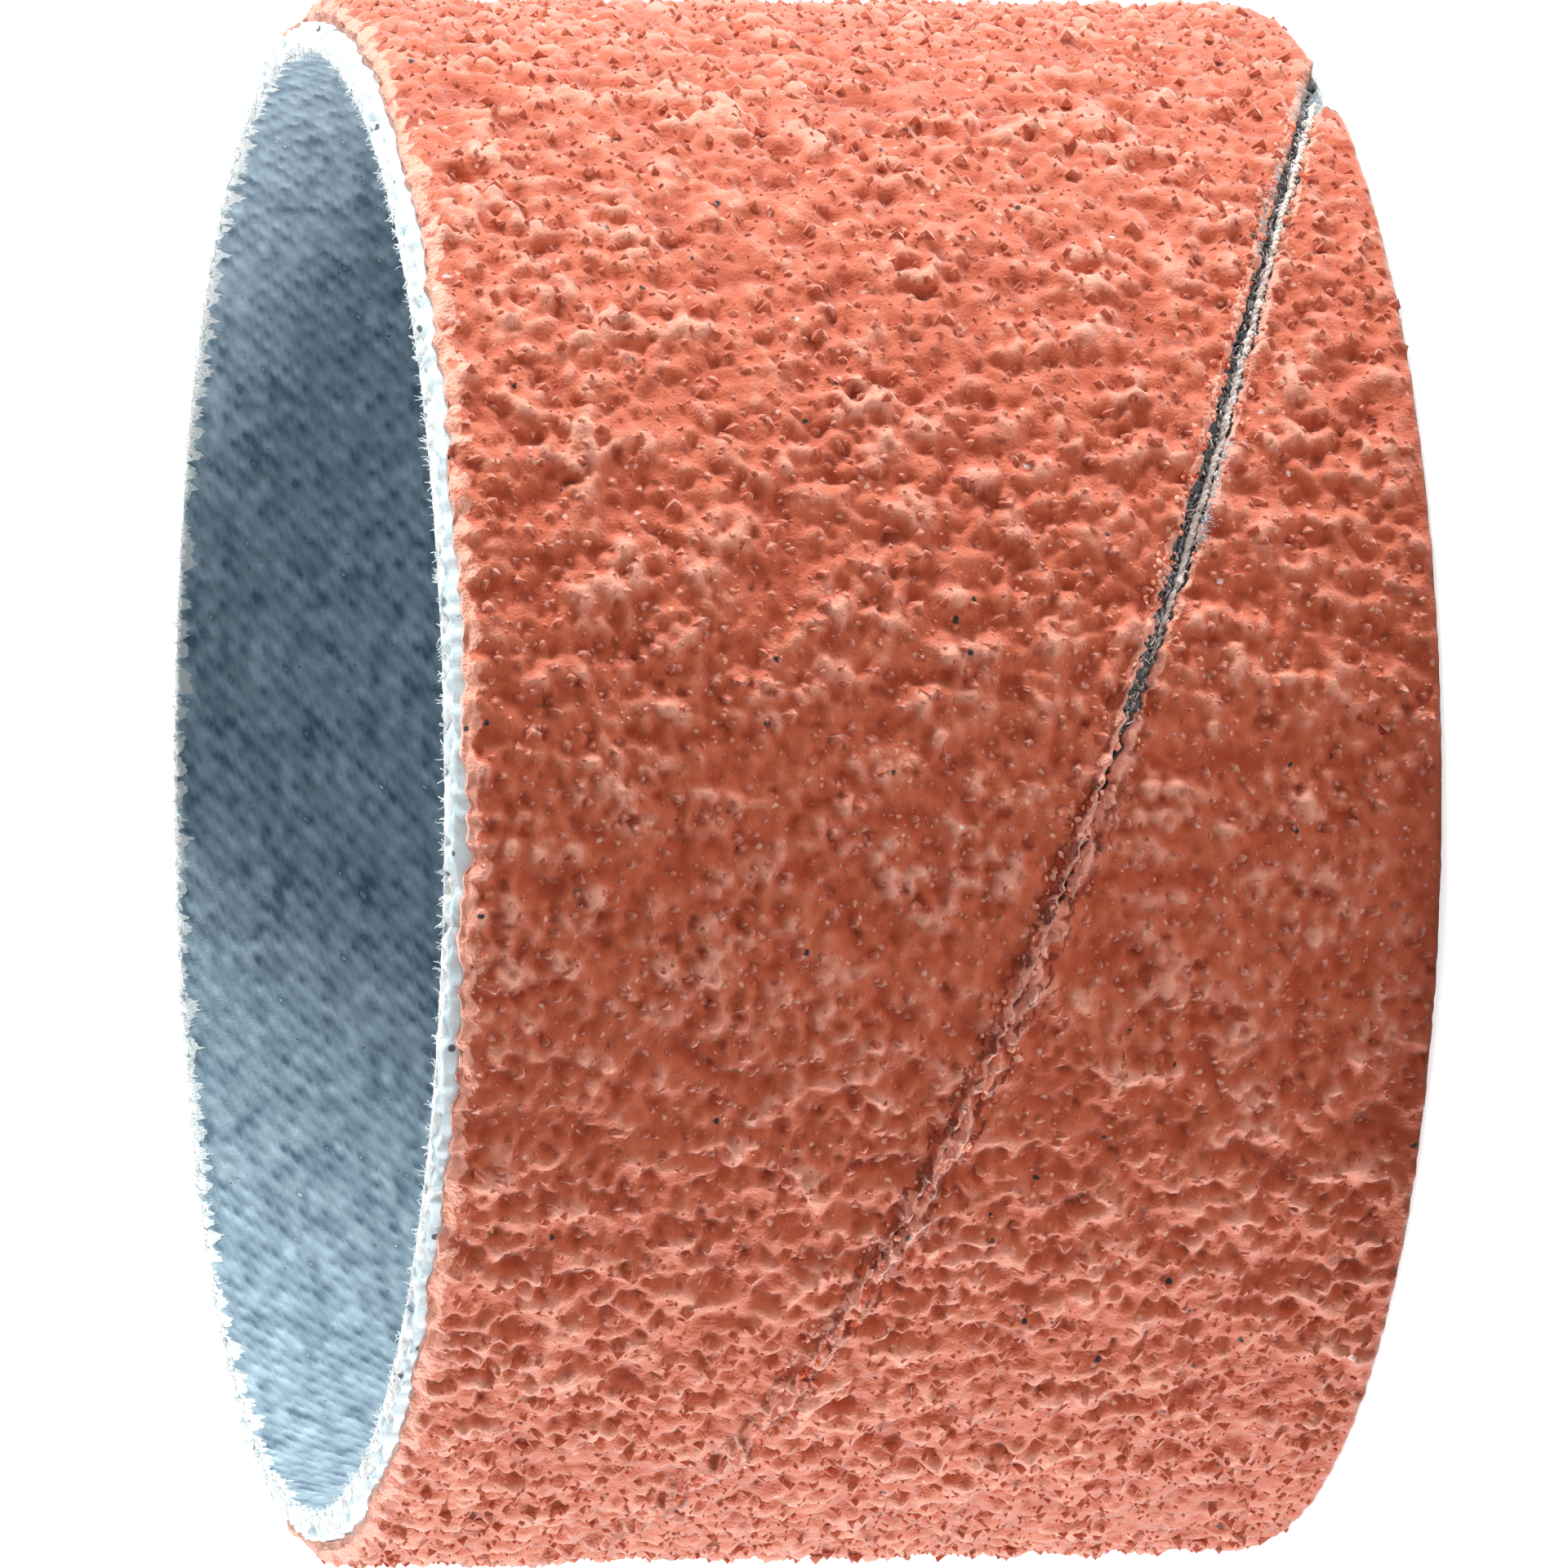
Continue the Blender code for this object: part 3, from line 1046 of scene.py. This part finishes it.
@dataclass
class ClothRing:
    """The backing's body: a square foot, a slanted frayed top and a groove along the butt."""

    sizes: SleeveSizes
    seam: SeamPath
    columns: int = 1000
    groove_depth: float = 0.45 * MM
    groove_rows: tuple[float, ...] = (-0.9, -0.44, -0.33, -0.22, -0.11, 0.0, 0.11, 0.22, 0.33, 0.44, 0.9)
    wall_setback: float = 0.06 * MM
    key_stride: float = 1000.0

    def bore_strand(self, draft: MeshDraft, angle: float) -> Strand:
        """Adds one column of the wall behind the woven lining, with a torn edge at its top.

        Args:
            draft: Mesh that takes the points.
            angle: Angle of the column.

        Returns:
            The strand of the wall, top to bottom.
        """
        strand = Strand()
        for row, height in enumerate((self.sizes.length, self.sizes.length - 0.3 * MM, 15.0 * MM, 0.2 * MM)):
            edge = around_axis(self.sizes.bore_radius, angle, 0.0)
            torn = 0.17 * MM * rough(edge, 0.36 * MM, 8.0) if row == 0 else 0.0
            radius = self.sizes.bore_radius + self.wall_setback + torn
            place = around_axis(radius, angle, height - 0.3 * abs(torn))
            strand.add(float(row), cloth_point(draft, place, cut=0.9 if row == 0 else 0.4))
        return strand

    def foot_strand(self, draft: MeshDraft, angle: float) -> Strand:
        """Adds the foot's flat ring, from the bore outwards."""
        strand = Strand()
        for key, share in enumerate((0.5, 1.0)):
            radius = self.sizes.bore_radius + self.sizes.cloth_thickness * share
            strand.add(float(key), cloth_point(draft, around_axis(radius, angle, 0.0), cut=0.9))
        return strand

    def outer_strand(self, draft: MeshDraft, angle: float) -> Strand:
        """Adds the outer face with the seam's groove, from above the foot to below the slanted top."""
        strand = Strand()
        top = self.sizes.length - self.sizes.top_slant
        rows: list[tuple[float, float, float, float]] = []
        for turn in (-1, 0, 1):
            middle = self.seam.height_at(angle + turn * FULL_TURN)
            for step, offset in enumerate(self.groove_rows):
                height = middle + offset * MM
                half = self.seam.half_gap(middle) + 0.12 * MM
                share = max(0.0, 1.0 - abs(offset * MM / half) ** 3)
                torn = rough(around_axis(self.sizes.cloth_radius, angle, height), 0.22 * MM, 3.7)
                depth = self.groove_depth * share * (0.7 + 0.6 * torn)
                # The gap's painted shadow is stronger on the upper strip's side.
                gap = share * smooth_step(-0.10, 0.35, torn + (0.12 if offset > 0 else -0.15))
                rows.append((-100.0 * turn + step, height, depth, gap))
        for key, height, depth, gap in sorted(rows, key=lambda row: row[1]):
            if 0.1 * MM < height < top - 0.1 * MM:
                place = around_axis(self.sizes.cloth_radius - depth, angle, height)
                strand.add(key, cloth_point(draft, place, warp=0.7, sized=0.5 * (1.0 - gap), gap=gap))
        return strand

    def top_strand(self, draft: MeshDraft, angle: float) -> Strand:
        """Adds the slanted, frayed cut from the outer face to the land beside the bore."""
        strand = Strand()
        outer = self.sizes.cloth_radius
        inner = self.sizes.bore_radius + self.sizes.top_land
        for key, share in enumerate((0.0, 0.2, 0.4, 0.6, 0.8, 1.0)):
            radius = outer + (inner - outer) * share
            height = self.sizes.length - self.sizes.top_slant * (1 - share)
            place = around_axis(radius, angle, height)
            ragged = 0.34 * MM * (0.5 + 0.5 * share) * rough(place, 0.34 * MM, 5.5)
            ragged += 0.10 * MM * rough(place, 0.8 * MM, 6.5)
            cut = smooth_step(0.2, 0.8, share + 0.9 * rough(place, 0.9 * MM, 1.1))
            place = around_axis(radius + 0.4 * ragged, angle, min(height + ragged, self.sizes.length))
            strand.add(float(key), cloth_point(draft, place, cut=cut, sized=1.0 - cut))
        return strand

    def build(self, material: Material) -> None:
        """Turns the ring column by column and dresses it."""
        draft = MeshDraft()
        loops: list[Strand] = []
        for column in range(self.columns):
            angle = FULL_TURN * column / self.columns
            parts = (self.bore_strand, self.foot_strand, self.outer_strand, self.top_strand)
            loop = Strand()
            for count, add_part in enumerate(parts):
                part = add_part(draft, angle)
                loop.keys += [count * self.key_stride + key for key in part.keys]
                loop.points += part.points
            loop.add(len(parts) * self.key_stride, loop.points[0])
            loops.append(loop)
        join_round(draft, loops)
        settle(draft.make_piece("cloth_ring", material), Slot.CLOTH, Node.CLOTH)


@dataclass
class TwillLining:
    """The woven face of the bore: warp yarns that run round it and dip under every second weft yarn."""

    sizes: SleeveSizes
    wefts_round: int = 402
    yarn_pitch: float = 0.36 * MM
    float_rise: float = 0.035 * MM
    dip: float = 0.045 * MM
    valley_drop: float = 0.012 * MM
    thickness: float = 0.20 * MM
    period: int = 2
    back_key: float = 9000.0

    def woven_point(self, draft: MeshDraft, column: int, row: int, height: float) -> int:
        """Adds one point of the woven face.

        Args:
            draft: Mesh that takes the point.
            column: Count of the weft yarn that it lies over.
            row: Count of half yarns from the top; even ones run along a warp yarn.
            height: Height of the point.

        Returns:
            The point's index.
        """
        yarn = row // 2
        dips = (column + yarn) % self.period == 0
        # The warp share falls in the dips and valleys, where the cloth's colour is darkened as painted shade.
        if row % 2:
            rise, share = -self.valley_drop, 0.48
        elif dips:
            rise, share = -self.dip, 0.22
        else:
            rise, share = self.float_rise, 0.70
        angle = FULL_TURN * column / self.wefts_round
        place = around_axis(self.sizes.bore_radius, angle, height)
        slack = noise.noise(Vector((column * 0.71, yarn * 1.37, 4.0)))
        rise += 0.030 * MM * rough(place, 0.5 * MM, 2.0) + 0.035 * MM * slack
        share += 0.25 * rough(place, 0.7 * MM, 21.0) + 0.60 * slack
        return cloth_point(draft, around_axis(self.sizes.bore_radius - rise, angle, height), warp=share)

    def build(self, material: Material) -> None:
        """Weaves the lining column by column and dresses it."""
        draft = MeshDraft()
        rows = 2 * round(self.sizes.length / self.yarn_pitch)
        top = self.sizes.length - 0.04 * MM
        loops: list[Strand] = []
        for column in range(self.wefts_round):
            loop = Strand()
            for row in range(rows + 1):
                loop.add(float(row), self.woven_point(draft, column, row, top * (1 - row / rows)))
            angle = FULL_TURN * column / self.wefts_round
            back_heights = (0.0, 15.0 * MM, top)
            for step, height in enumerate(back_heights):
                place = around_axis(self.sizes.bore_radius + self.thickness, angle, height)
                loop.add(self.back_key + step, cloth_point(draft, place, cut=0.5))
            loop.add(self.back_key + len(back_heights), loop.points[0])
            loops.append(loop)
        join_round(draft, loops)
        settle(draft.make_piece("twill_lining", material), Slot.CLOTH, Node.CLOTH)


@dataclass
class Hair:
    """One loose fibre: where it starts, which way it heads and how it bends."""

    root: Vector
    heading: Vector
    length: float
    radius: float = 0.013 * MM
    curl: float = 0.5
    joints: int = 5
    sides: int = 4

    def add_to(self, draft: MeshDraft, chance: random.Random) -> None:
        """Sweeps the fibre into a mesh, tapering it to its tip.

        Args:
            draft: Mesh that takes the fibre.
            chance: Source of its bends.
        """
        path = [self.root]
        heading = self.heading.normalized()
        for _ in range(self.joints):
            drift = Vector([chance.uniform(-1.0, 1.0) for _ in range(3)])
            heading = (heading + self.curl * drift).normalized()
            path.append(path[-1] + heading * (self.length / self.joints))
        radii = [self.radius * (1.0 - 0.6 * step / self.joints) for step in range(self.joints + 1)]
        add_tube(draft, path, radii, self.sides)


def add_tube(draft: MeshDraft, path: Sequence[Vector], radii: Sequence[float], sides: int) -> None:
    """Sweeps a round section along a path and closes both its ends.

    Args:
        draft: Mesh that takes the tube.
        path: Points that the tube's middle follows.
        radii: The tube's radius at each point.
        sides: Corners of its section.
    """
    rings: list[list[int]] = []
    side = (path[1] - path[0]).orthogonal().normalized()
    for step, place in enumerate(path):
        ahead = (path[min(step + 1, len(path) - 1)] - path[max(step - 1, 0)]).normalized()
        side = (side - ahead * side.dot(ahead)).normalized()
        cross = ahead.cross(side)
        turns = [FULL_TURN * corner / sides for corner in range(sides)]
        rings.append([draft.add_point(place + (side * math.cos(turn) + cross * math.sin(turn)) * radii[step])
                      for turn in turns])
    for near, far in zip(rings, rings[1:]):
        for corner in range(sides):
            draft.faces.append((near[corner - 1], near[corner], far[corner], far[corner - 1]))
    draft.faces.append(tuple(rings[0]))
    draft.faces.append(tuple(reversed(rings[-1])))


@dataclass
class SeamYarns:
    """What shows in the gaping stretch of the seam: a cut yarn of two twisted plies, and loose fibres."""

    sizes: SleeveSizes
    seam: SeamPath
    start_height: float = 0.75 * MM
    stop_height: float = 9.0 * MM
    lay: float = 0.13 * MM
    lift: float = 0.24 * MM
    ply_radius: float = 0.062 * MM
    ply_offset: float = 0.060 * MM
    twist_pitch: float = 0.50 * MM
    step: float = 0.060 * MM
    plies: int = 3
    bed_hairs: int = 1500
    lint_hairs: int = 900
    seed: int = 4

    def along(self, height: float, across: float, radius: float) -> Vector:
        """Returns the point beside the seam's middle at a height.

        Args:
            height: Height that the seam's middle has there.
            across: Offset towards the upper strip, along the axis.
            radius: Radius of the point.

        Returns:
            The point.
        """
        angle = self.seam.angle_at(height)
        return around_axis(radius, angle, self.seam.height_at(angle) + across)

    def add_plies(self, draft: MeshDraft) -> None:
        """Twists the yarn's uneven plies round each other along the lower half of the gap."""
        run = (self.stop_height - self.start_height) / math.sin(self.seam.slope)
        steps = round(run / self.step)
        for ply in range(self.plies):
            path: list[Vector] = []
            radii: list[float] = []
            for step in range(steps + 1):
                share = step / steps
                height = self.start_height + (self.stop_height - self.start_height) * share
                sway = 0.05 * MM * noise.noise(Vector((share * 17.0, 3.0, 0.0)))
                middle = self.along(height, -self.lay + sway, self.sizes.cloth_radius + self.lift)
                outward = Vector((middle.x, middle.y, 0.0)).normalized()
                turn = FULL_TURN * (share * run / self.twist_pitch + ply / self.plies)
                turn += 2.5 * noise.noise(Vector((share * 61.0, ply * 3.0, 7.0)))
                offset = outward * math.cos(turn) + UP * math.sin(turn)
                loose = 1.0 + 0.9 * noise.noise(Vector((share * 83.0, ply * 7.0, 4.0)))
                path.append(middle + offset * self.ply_offset * loose)
                swell = max(0.15, 0.9 + 2.4 * noise.noise(Vector((share * 90.0, ply * 5.0, 1.0))))
                radii.append(self.ply_radius * swell * min(1.0, 8.0 * (1.0 - share) + 0.2))
            add_tube(draft, path, radii, 6)

    def add_bed(self, draft: MeshDraft, chance: random.Random, hairs: int, low: float, high: float,
                lift: float) -> None:
        """Lays loose fibres along and across the groove, beside and over the yarn.

        Args:
            draft: Mesh that takes the fibres.
            chance: Source of their places and bends.
            hairs: Number of fibres.
            low: Lowest offset from the seam's middle.
            high: Highest offset from the seam's middle.
            lift: How far above the groove's foot the highest ones start.
        """
        for _ in range(hairs):
            height = chance.uniform(self.start_height, self.stop_height + 0.8 * MM)
            across = chance.uniform(low, high)
            root = self.along(height, across, self.sizes.cloth_radius - 0.15 * MM + lift * chance.random())
            lane = self.along(height + 0.3 * MM, across, root.xy.length) - root
            outward = Vector((root.x, root.y, 0.0)).normalized()
            heading = lane.normalized() * chance.choice((-1.0, 1.0)) + outward * chance.uniform(-0.1, 0.35)
            heading += UP * chance.uniform(-0.9, 0.9)
            length = chance.uniform(0.07, 0.34) * MM
            thick = chance.uniform(0.014, 0.048) * MM
            Hair(root, heading, length, radius=thick, curl=0.6, joints=3, sides=3).add_to(draft, chance)

    def build(self, shop: Shop, yarn: FibreFinish, bed: FibreFinish) -> None:
        """Makes the yarn and the fibres round it.

        Args:
            shop: Shared node groups.
            yarn: Finish of the twisted yarn.
            bed: Finish of the loose fibres.
        """
        chance = random.Random(self.seed)
        plies = MeshDraft()
        self.add_plies(plies)
        plies_material = yarn.make(shop)
        settle(plies.make_piece("seam_yarn", plies_material), Slot.CLOTH)
        fibres = MeshDraft()
        self.add_bed(fibres, chance, self.bed_hairs, -0.30 * MM, 0.36 * MM, 0.42 * MM)
        settle(fibres.make_piece("seam_fibres", bed.make(shop)), Slot.CLOTH)
        lint = MeshDraft()
        self.add_bed(lint, chance, self.lint_hairs, -0.34 * MM, 0.16 * MM, 0.62 * MM)
        settle(lint.make_piece("seam_lint", plies_material), Slot.CLOTH)


@dataclass(frozen=True)
class Tuft:
    """A place where loose fibres stick out: its middle, its spread and the way its fibres lean."""

    angle: float
    height: float
    angle_spread: float
    height_spread: float
    hairs: int
    length: float
    lean: float


@dataclass
class FrayedFibres:
    """White fibres: a fringe on the trimmed rim and tufts on the seam's lips."""

    sizes: SleeveSizes
    seam: SeamPath
    fringe_hairs: int = 2200
    tooth_pitch: float = 0.72 * MM
    tufts: tuple[Tuft, ...] = (
        Tuft(math.radians(-31.5), 1.2 * MM, math.radians(3), 0.30 * MM, 110, 0.30 * MM, -0.8),
        Tuft(math.radians(-44.0), 3.3 * MM, math.radians(6), 0.35 * MM, 260, 0.45 * MM, -0.8),
        Tuft(math.radians(-69.3), 6.9 * MM, math.radians(4), 0.30 * MM, 260, 0.50 * MM, 0.7),
    )
    seed: int = 11

    def add_fringe(self, draft: MeshDraft, chance: random.Random) -> None:
        """Sets short fibres on the rim's inner half, bunched where a cut warp yarn ends."""
        teeth = round(FULL_TURN * self.sizes.bore_radius / self.tooth_pitch)
        for _ in range(self.fringe_hairs):
            tooth = FULL_TURN * chance.randrange(teeth) / teeth
            angle = tooth + chance.gauss(0.0, 0.16) * FULL_TURN / teeth
            radius = self.sizes.bore_radius + abs(chance.gauss(0.0, 0.16)) * MM
            root = around_axis(radius, angle, self.sizes.length - 0.08 * MM)
            outward, sideways = around_directions(angle)
            heading = UP * 0.5 + outward * chance.uniform(-1.2, 0.9)
            heading += sideways * chance.uniform(-0.9, 0.9)
            length = chance.uniform(0.14, 0.36) * MM
            Hair(root, heading, length, radius=0.026 * MM, curl=0.6, joints=3).add_to(draft, chance)

    def add_tuft(self, draft: MeshDraft, tuft: Tuft, chance: random.Random) -> None:
        """Sets one tuft's fibres on a lip of the seam."""
        for _ in range(tuft.hairs):
            angle = tuft.angle + tuft.angle_spread * chance.uniform(-1.0, 1.0)
            side = math.copysign(self.seam.half_gap(tuft.height), -tuft.lean)
            height = self.seam.height_at(angle) + side + 0.05 * MM * chance.uniform(-1.0, 1.0)
            root = around_axis(self.sizes.coat_radius - 0.25 * MM * chance.random(), angle, height)
            outward, sideways = around_directions(angle)
            heading = outward * chance.uniform(0.2, 0.7) + UP * (-tuft.lean * chance.uniform(0.0, 1.0))
            heading += sideways * chance.uniform(-1.0, 1.0)
            length = tuft.length * chance.uniform(0.4, 1.0)
            Hair(root, heading, length, curl=0.5, joints=4, sides=3).add_to(draft, chance)

    def build(self, shop: Shop, finish: FibreFinish) -> None:
        """Makes all the white fibres in one piece.

        Args:
            shop: Shared node groups.
            finish: Finish of the fibres.
        """
        chance = random.Random(self.seed)
        fringe = MeshDraft()
        self.add_fringe(fringe, chance)
        material = finish.make(shop)
        settle(fringe.make_piece("rim_fringe", material), Slot.CLOTH)
        fluff = MeshDraft()
        for tuft in self.tufts:
            self.add_tuft(fluff, tuft, chance)
        settle(fluff.make_piece("seam_fluff", material), Slot.CLOTH)


@dataclass(frozen=True)
class CrumbFinish:
    """Broken resin: pale pink with salmon hollows."""

    pale: Colour = (0.96, 0.47, 0.35, 1.0)
    deep: Colour = (0.66, 0.13, 0.05, 1.0)

    def make(self, shop: Shop) -> Material:
        """Builds the crumbs' material."""
        material, net, shader = new_material("resin_crumb")
        grain = shop.use(net, shop.grain, net.place())
        colour = net.mix(net.span(grain.outputs["Mottle"], 0.38, 0.58), self.deep, self.pale)
        normal = net.bump(grain.outputs["Height"], 0.6, 0.05 * MM)
        net.feed_all(shader, {"Base Color": colour, "Roughness": 0.8, "Normal": normal})
        return material


@dataclass
class ResinCrumbs:
    """Loose-looking crumbs of resin along the seam's broken lips."""

    sizes: SleeveSizes
    seam: SeamPath
    count: int = 1300
    start_height: float = 1.4 * MM
    least_size: float = 0.045 * MM
    spread_of_size: float = 0.12 * MM
    fade_height: float = 26.0 * MM
    seed: int = 21

    def crumb_shape(self) -> tuple[list[Vector], list[Face]]:
        """Models one crumb: a small ball, flattened on one side.

        Returns:
            The crumb's points and faces, at unit size.
        """
        bpy.ops.object.select_all(action="DESELECT")
        bpy.ops.mesh.primitive_ico_sphere_add(subdivisions=1, radius=1.0)
        ball = bpy.context.active_object
        bpy.ops.object.mode_set(mode="EDIT")
        bpy.ops.mesh.select_all(action="SELECT")
        bpy.ops.transform.resize(value=(1.0, 0.8, 0.6))
        bpy.ops.object.mode_set(mode="OBJECT")
        points = [vertex.co.copy() for vertex in ball.data.vertices]
        faces = [tuple(face.vertices) for face in ball.data.polygons]
        mesh = ball.data
        bpy.data.objects.remove(ball, do_unlink=True)
        bpy.data.meshes.remove(mesh)
        return points, faces

    def build(self, shop: Shop, finish: CrumbFinish) -> None:
        """Stamps the crumbs, each turned, sized and dented by chance, into one piece.

        Args:
            shop: Shared node groups.
            finish: Finish of the crumbs.
        """
        chance = random.Random(self.seed)
        shape, faces = self.crumb_shape()
        draft = MeshDraft()
        for _ in range(self.count):
            height = self.start_height + (self.fade_height - self.start_height) * chance.random() ** 1.3
            angle = self.seam.angle_at(height)
            side = chance.choice((1.0, 1.0, -1.0))
            closed = 1.0 - self.seam.openness(height)
            reach = (0.50 + 0.25 * closed) * MM
            share = chance.random()
            offset = side * (self.seam.half_gap(height) + reach * share ** 1.5 - 0.04 * MM)
            ridge = 0.20 * MM * closed * (1.0 - share) if side > 0 else 0.08 * MM * closed
            radius = self.sizes.coat_radius + chance.uniform(-0.16, 0.02) * MM + ridge
            middle = around_axis(radius, angle, self.seam.height_at(angle) + offset)
            turn = Matrix.Rotation(chance.uniform(0.0, FULL_TURN), 3, "X")
            turn = turn @ Matrix.Rotation(chance.uniform(0.0, FULL_TURN), 3, "Z")
            size = self.least_size + self.spread_of_size * chance.random() ** 2
            first = len(draft.points)
            for point in shape:
                draft.add_point(middle + turn @ point * size * chance.uniform(0.75, 1.25))
            draft.faces += [tuple(first + corner for corner in face) for face in faces]
        settle(draft.make_piece("seam_crumbs", finish.make(shop), sharp=math.radians(30)), Slot.COAT)


@dataclass(frozen=True)
class Lamp:
    """A soft rectangular lamp: where it stands, its width and height, its power in watts and its colour."""

    name: str
    place: tuple[float, float, float]
    size: tuple[float, float]
    power: float
    colour: tuple[float, float, float] = (1.0, 1.0, 1.0)


class Studio:
    """A pale floor, soft lamps and the camera."""

    lamps = (
        Lamp("key_lamp", (0.64, 0.0, 0.22), (0.12, 0.40), 6.9, (0.93, 1.0, 1.0)),
        Lamp("rim_lamp", (0.0, 0.12, 0.80), (0.30, 0.30), 4.2),
        Lamp("far_lamp", (-0.62, 0.20, 0.10), (0.14, 0.14), 4.7),
        Lamp("front_fill", (0.0, -0.80, 0.02), (0.30, 0.12), 0.45),
    )

    def __init__(self, sizes: SleeveSizes) -> None:
        """Keeps the sleeve's sizes, from which the studio's places are worked out."""
        self.sizes = sizes
        self.middle = Vector((0.0, 0.0, sizes.length / 2))

    def add_camera(self) -> None:
        """Adds the long-lens camera, turned so that the sleeve's axis lies level in the picture."""
        radius = self.sizes.coat_radius
        distance = 16.32 * radius
        tilt = math.radians(12.76)
        roll = math.radians(-0.29)
        frame_width = 1920
        sensor_width = 36.0
        sleeve_scale = 945.4
        off_centre_right = 12.8 / sleeve_scale * radius
        off_centre_down = 5.4 / sleeve_scale * radius
        forward = Vector((0.0, math.cos(tilt), -math.sin(tilt)))
        level = Vector((1.0, 0.0, 0.0))
        along = forward.cross(level)
        right = along * math.cos(roll) + level * math.sin(roll)
        up = level * math.cos(roll) - along * math.sin(roll)
        place = self.middle - forward * distance + right * off_centre_right - up * off_centre_down
        data = bpy.data.cameras.new("camera")
        data.sensor_width = sensor_width
        data.lens = sleeve_scale * distance / radius * sensor_width / frame_width
        data.clip_start = 0.01
        data.clip_end = 20.0
        camera = bpy.data.objects.new("camera", data)
        turn = Matrix((right, up, -forward)).transposed().to_4x4()
        camera.matrix_world = Matrix.Translation(place) @ turn
        bpy.context.scene.collection.objects.link(camera)
        bpy.context.scene.camera = camera

    def add_lamp(self, lamp: Lamp) -> None:
        """Adds a lamp and turns it to the sleeve.

        Args:
            lamp: The lamp to add.
        """
        data = bpy.data.lights.new(lamp.name, "AREA")
        data.shape = "RECTANGLE"
        data.size, data.size_y = lamp.size
        data.energy = lamp.power
        data.color = lamp.colour
        item = bpy.data.objects.new(lamp.name, data)
        item.location = lamp.place
        item.rotation_euler = (self.middle - Vector(lamp.place)).to_track_quat("-Z", "Y").to_euler()
        bpy.context.scene.collection.objects.link(item)

    def add_world(self) -> None:
        """Lights the scene evenly and shows a white backdrop to the camera."""
        world = bpy.data.worlds.new("studio")
        bpy.context.scene.world = world
        world.use_nodes = True
        net = NodeNet(world.node_tree)
        background = world.node_tree.nodes["Background"]
        rays = net.add("ShaderNodeLightPath")
        seen = net.larger(rays.outputs["Is Camera Ray"], rays.outputs["Is Glossy Ray"])
        seen = net.larger(seen, rays.outputs["Is Transmission Ray"])
        background.inputs["Color"].default_value = (1.0, 1.0, 1.0, 1.0)
        net.feed(background.inputs["Strength"], net.span(seen, 0.0, 1.0, 0.22, 1.0, smooth=False))

    def add_floor(self) -> None:
        """Adds the pale floor, lifted to white for the camera but keeping the sleeve's shadow."""
        bpy.ops.object.select_all(action="DESELECT")
        bpy.ops.mesh.primitive_plane_add(size=6.0, location=(0.0, 0.0, 0.0))
        floor = bpy.context.active_object
        floor.name = "floor"
        material, net, shader = new_material("studio_floor")
        pale, white = (0.75, 0.75, 0.75, 1.0), (1.0, 1.0, 1.0, 1.0)
        rays = net.add("ShaderNodeLightPath")
        seen = net.span(rays.outputs["Is Camera Ray"], 0.0, 1.0, 0.0, 0.75, smooth=False)
        net.feed_all(shader, {"Base Color": pale, "Roughness": 0.9, "Specular IOR Level": 0.1})
        net.feed_all(shader, {"Emission Color": white, "Emission Strength": seen})
        floor.data.materials.append(material)

    def build(self) -> None:
        """Builds the whole studio."""
        self.add_camera()
        for lamp in self.lamps:
            self.add_lamp(lamp)
        self.add_world()
        self.add_floor()
        bpy.context.scene.view_settings.view_transform = "Standard"


def main() -> None:
    """Builds and dresses the sleeve piece by piece, then sets up the studio."""
    logging.basicConfig(level=logging.INFO, format="%(name)s %(message)s")
    sizes = SleeveSizes.from_frame()
    seam = SeamPath(sizes)
    shop = Shop()
    cloth = ClothFinish(sizes.length).make(shop)
    ClothRing(sizes, seam).build(cloth)
    TwillLining(sizes).build(cloth)
    coat = AbrasiveCoat(sizes, seam)
    resin = CoatFinish().make(shop)
    coat.build(resin)
    GritGrains(coat).build(resin)
    cream = FibreFinish("seam_yarn_cotton", (0.95, 0.94, 0.89, 1.0), (0.74, 0.72, 0.67, 1.0))
    teal = FibreFinish("seam_bed_fibre", (0.52, 0.64, 0.68, 1.0), (0.15, 0.19, 0.21, 1.0))
    white = FibreFinish("frayed_fibre", (0.93, 0.95, 0.95, 1.0), (0.52, 0.61, 0.66, 1.0))
    SeamYarns(sizes, seam).build(shop, cream, teal)
    FrayedFibres(sizes, seam).build(shop, white)
    ResinCrumbs(sizes, seam).build(shop, CrumbFinish())
    Studio(sizes).build()


if __name__ == "__main__":
    main()
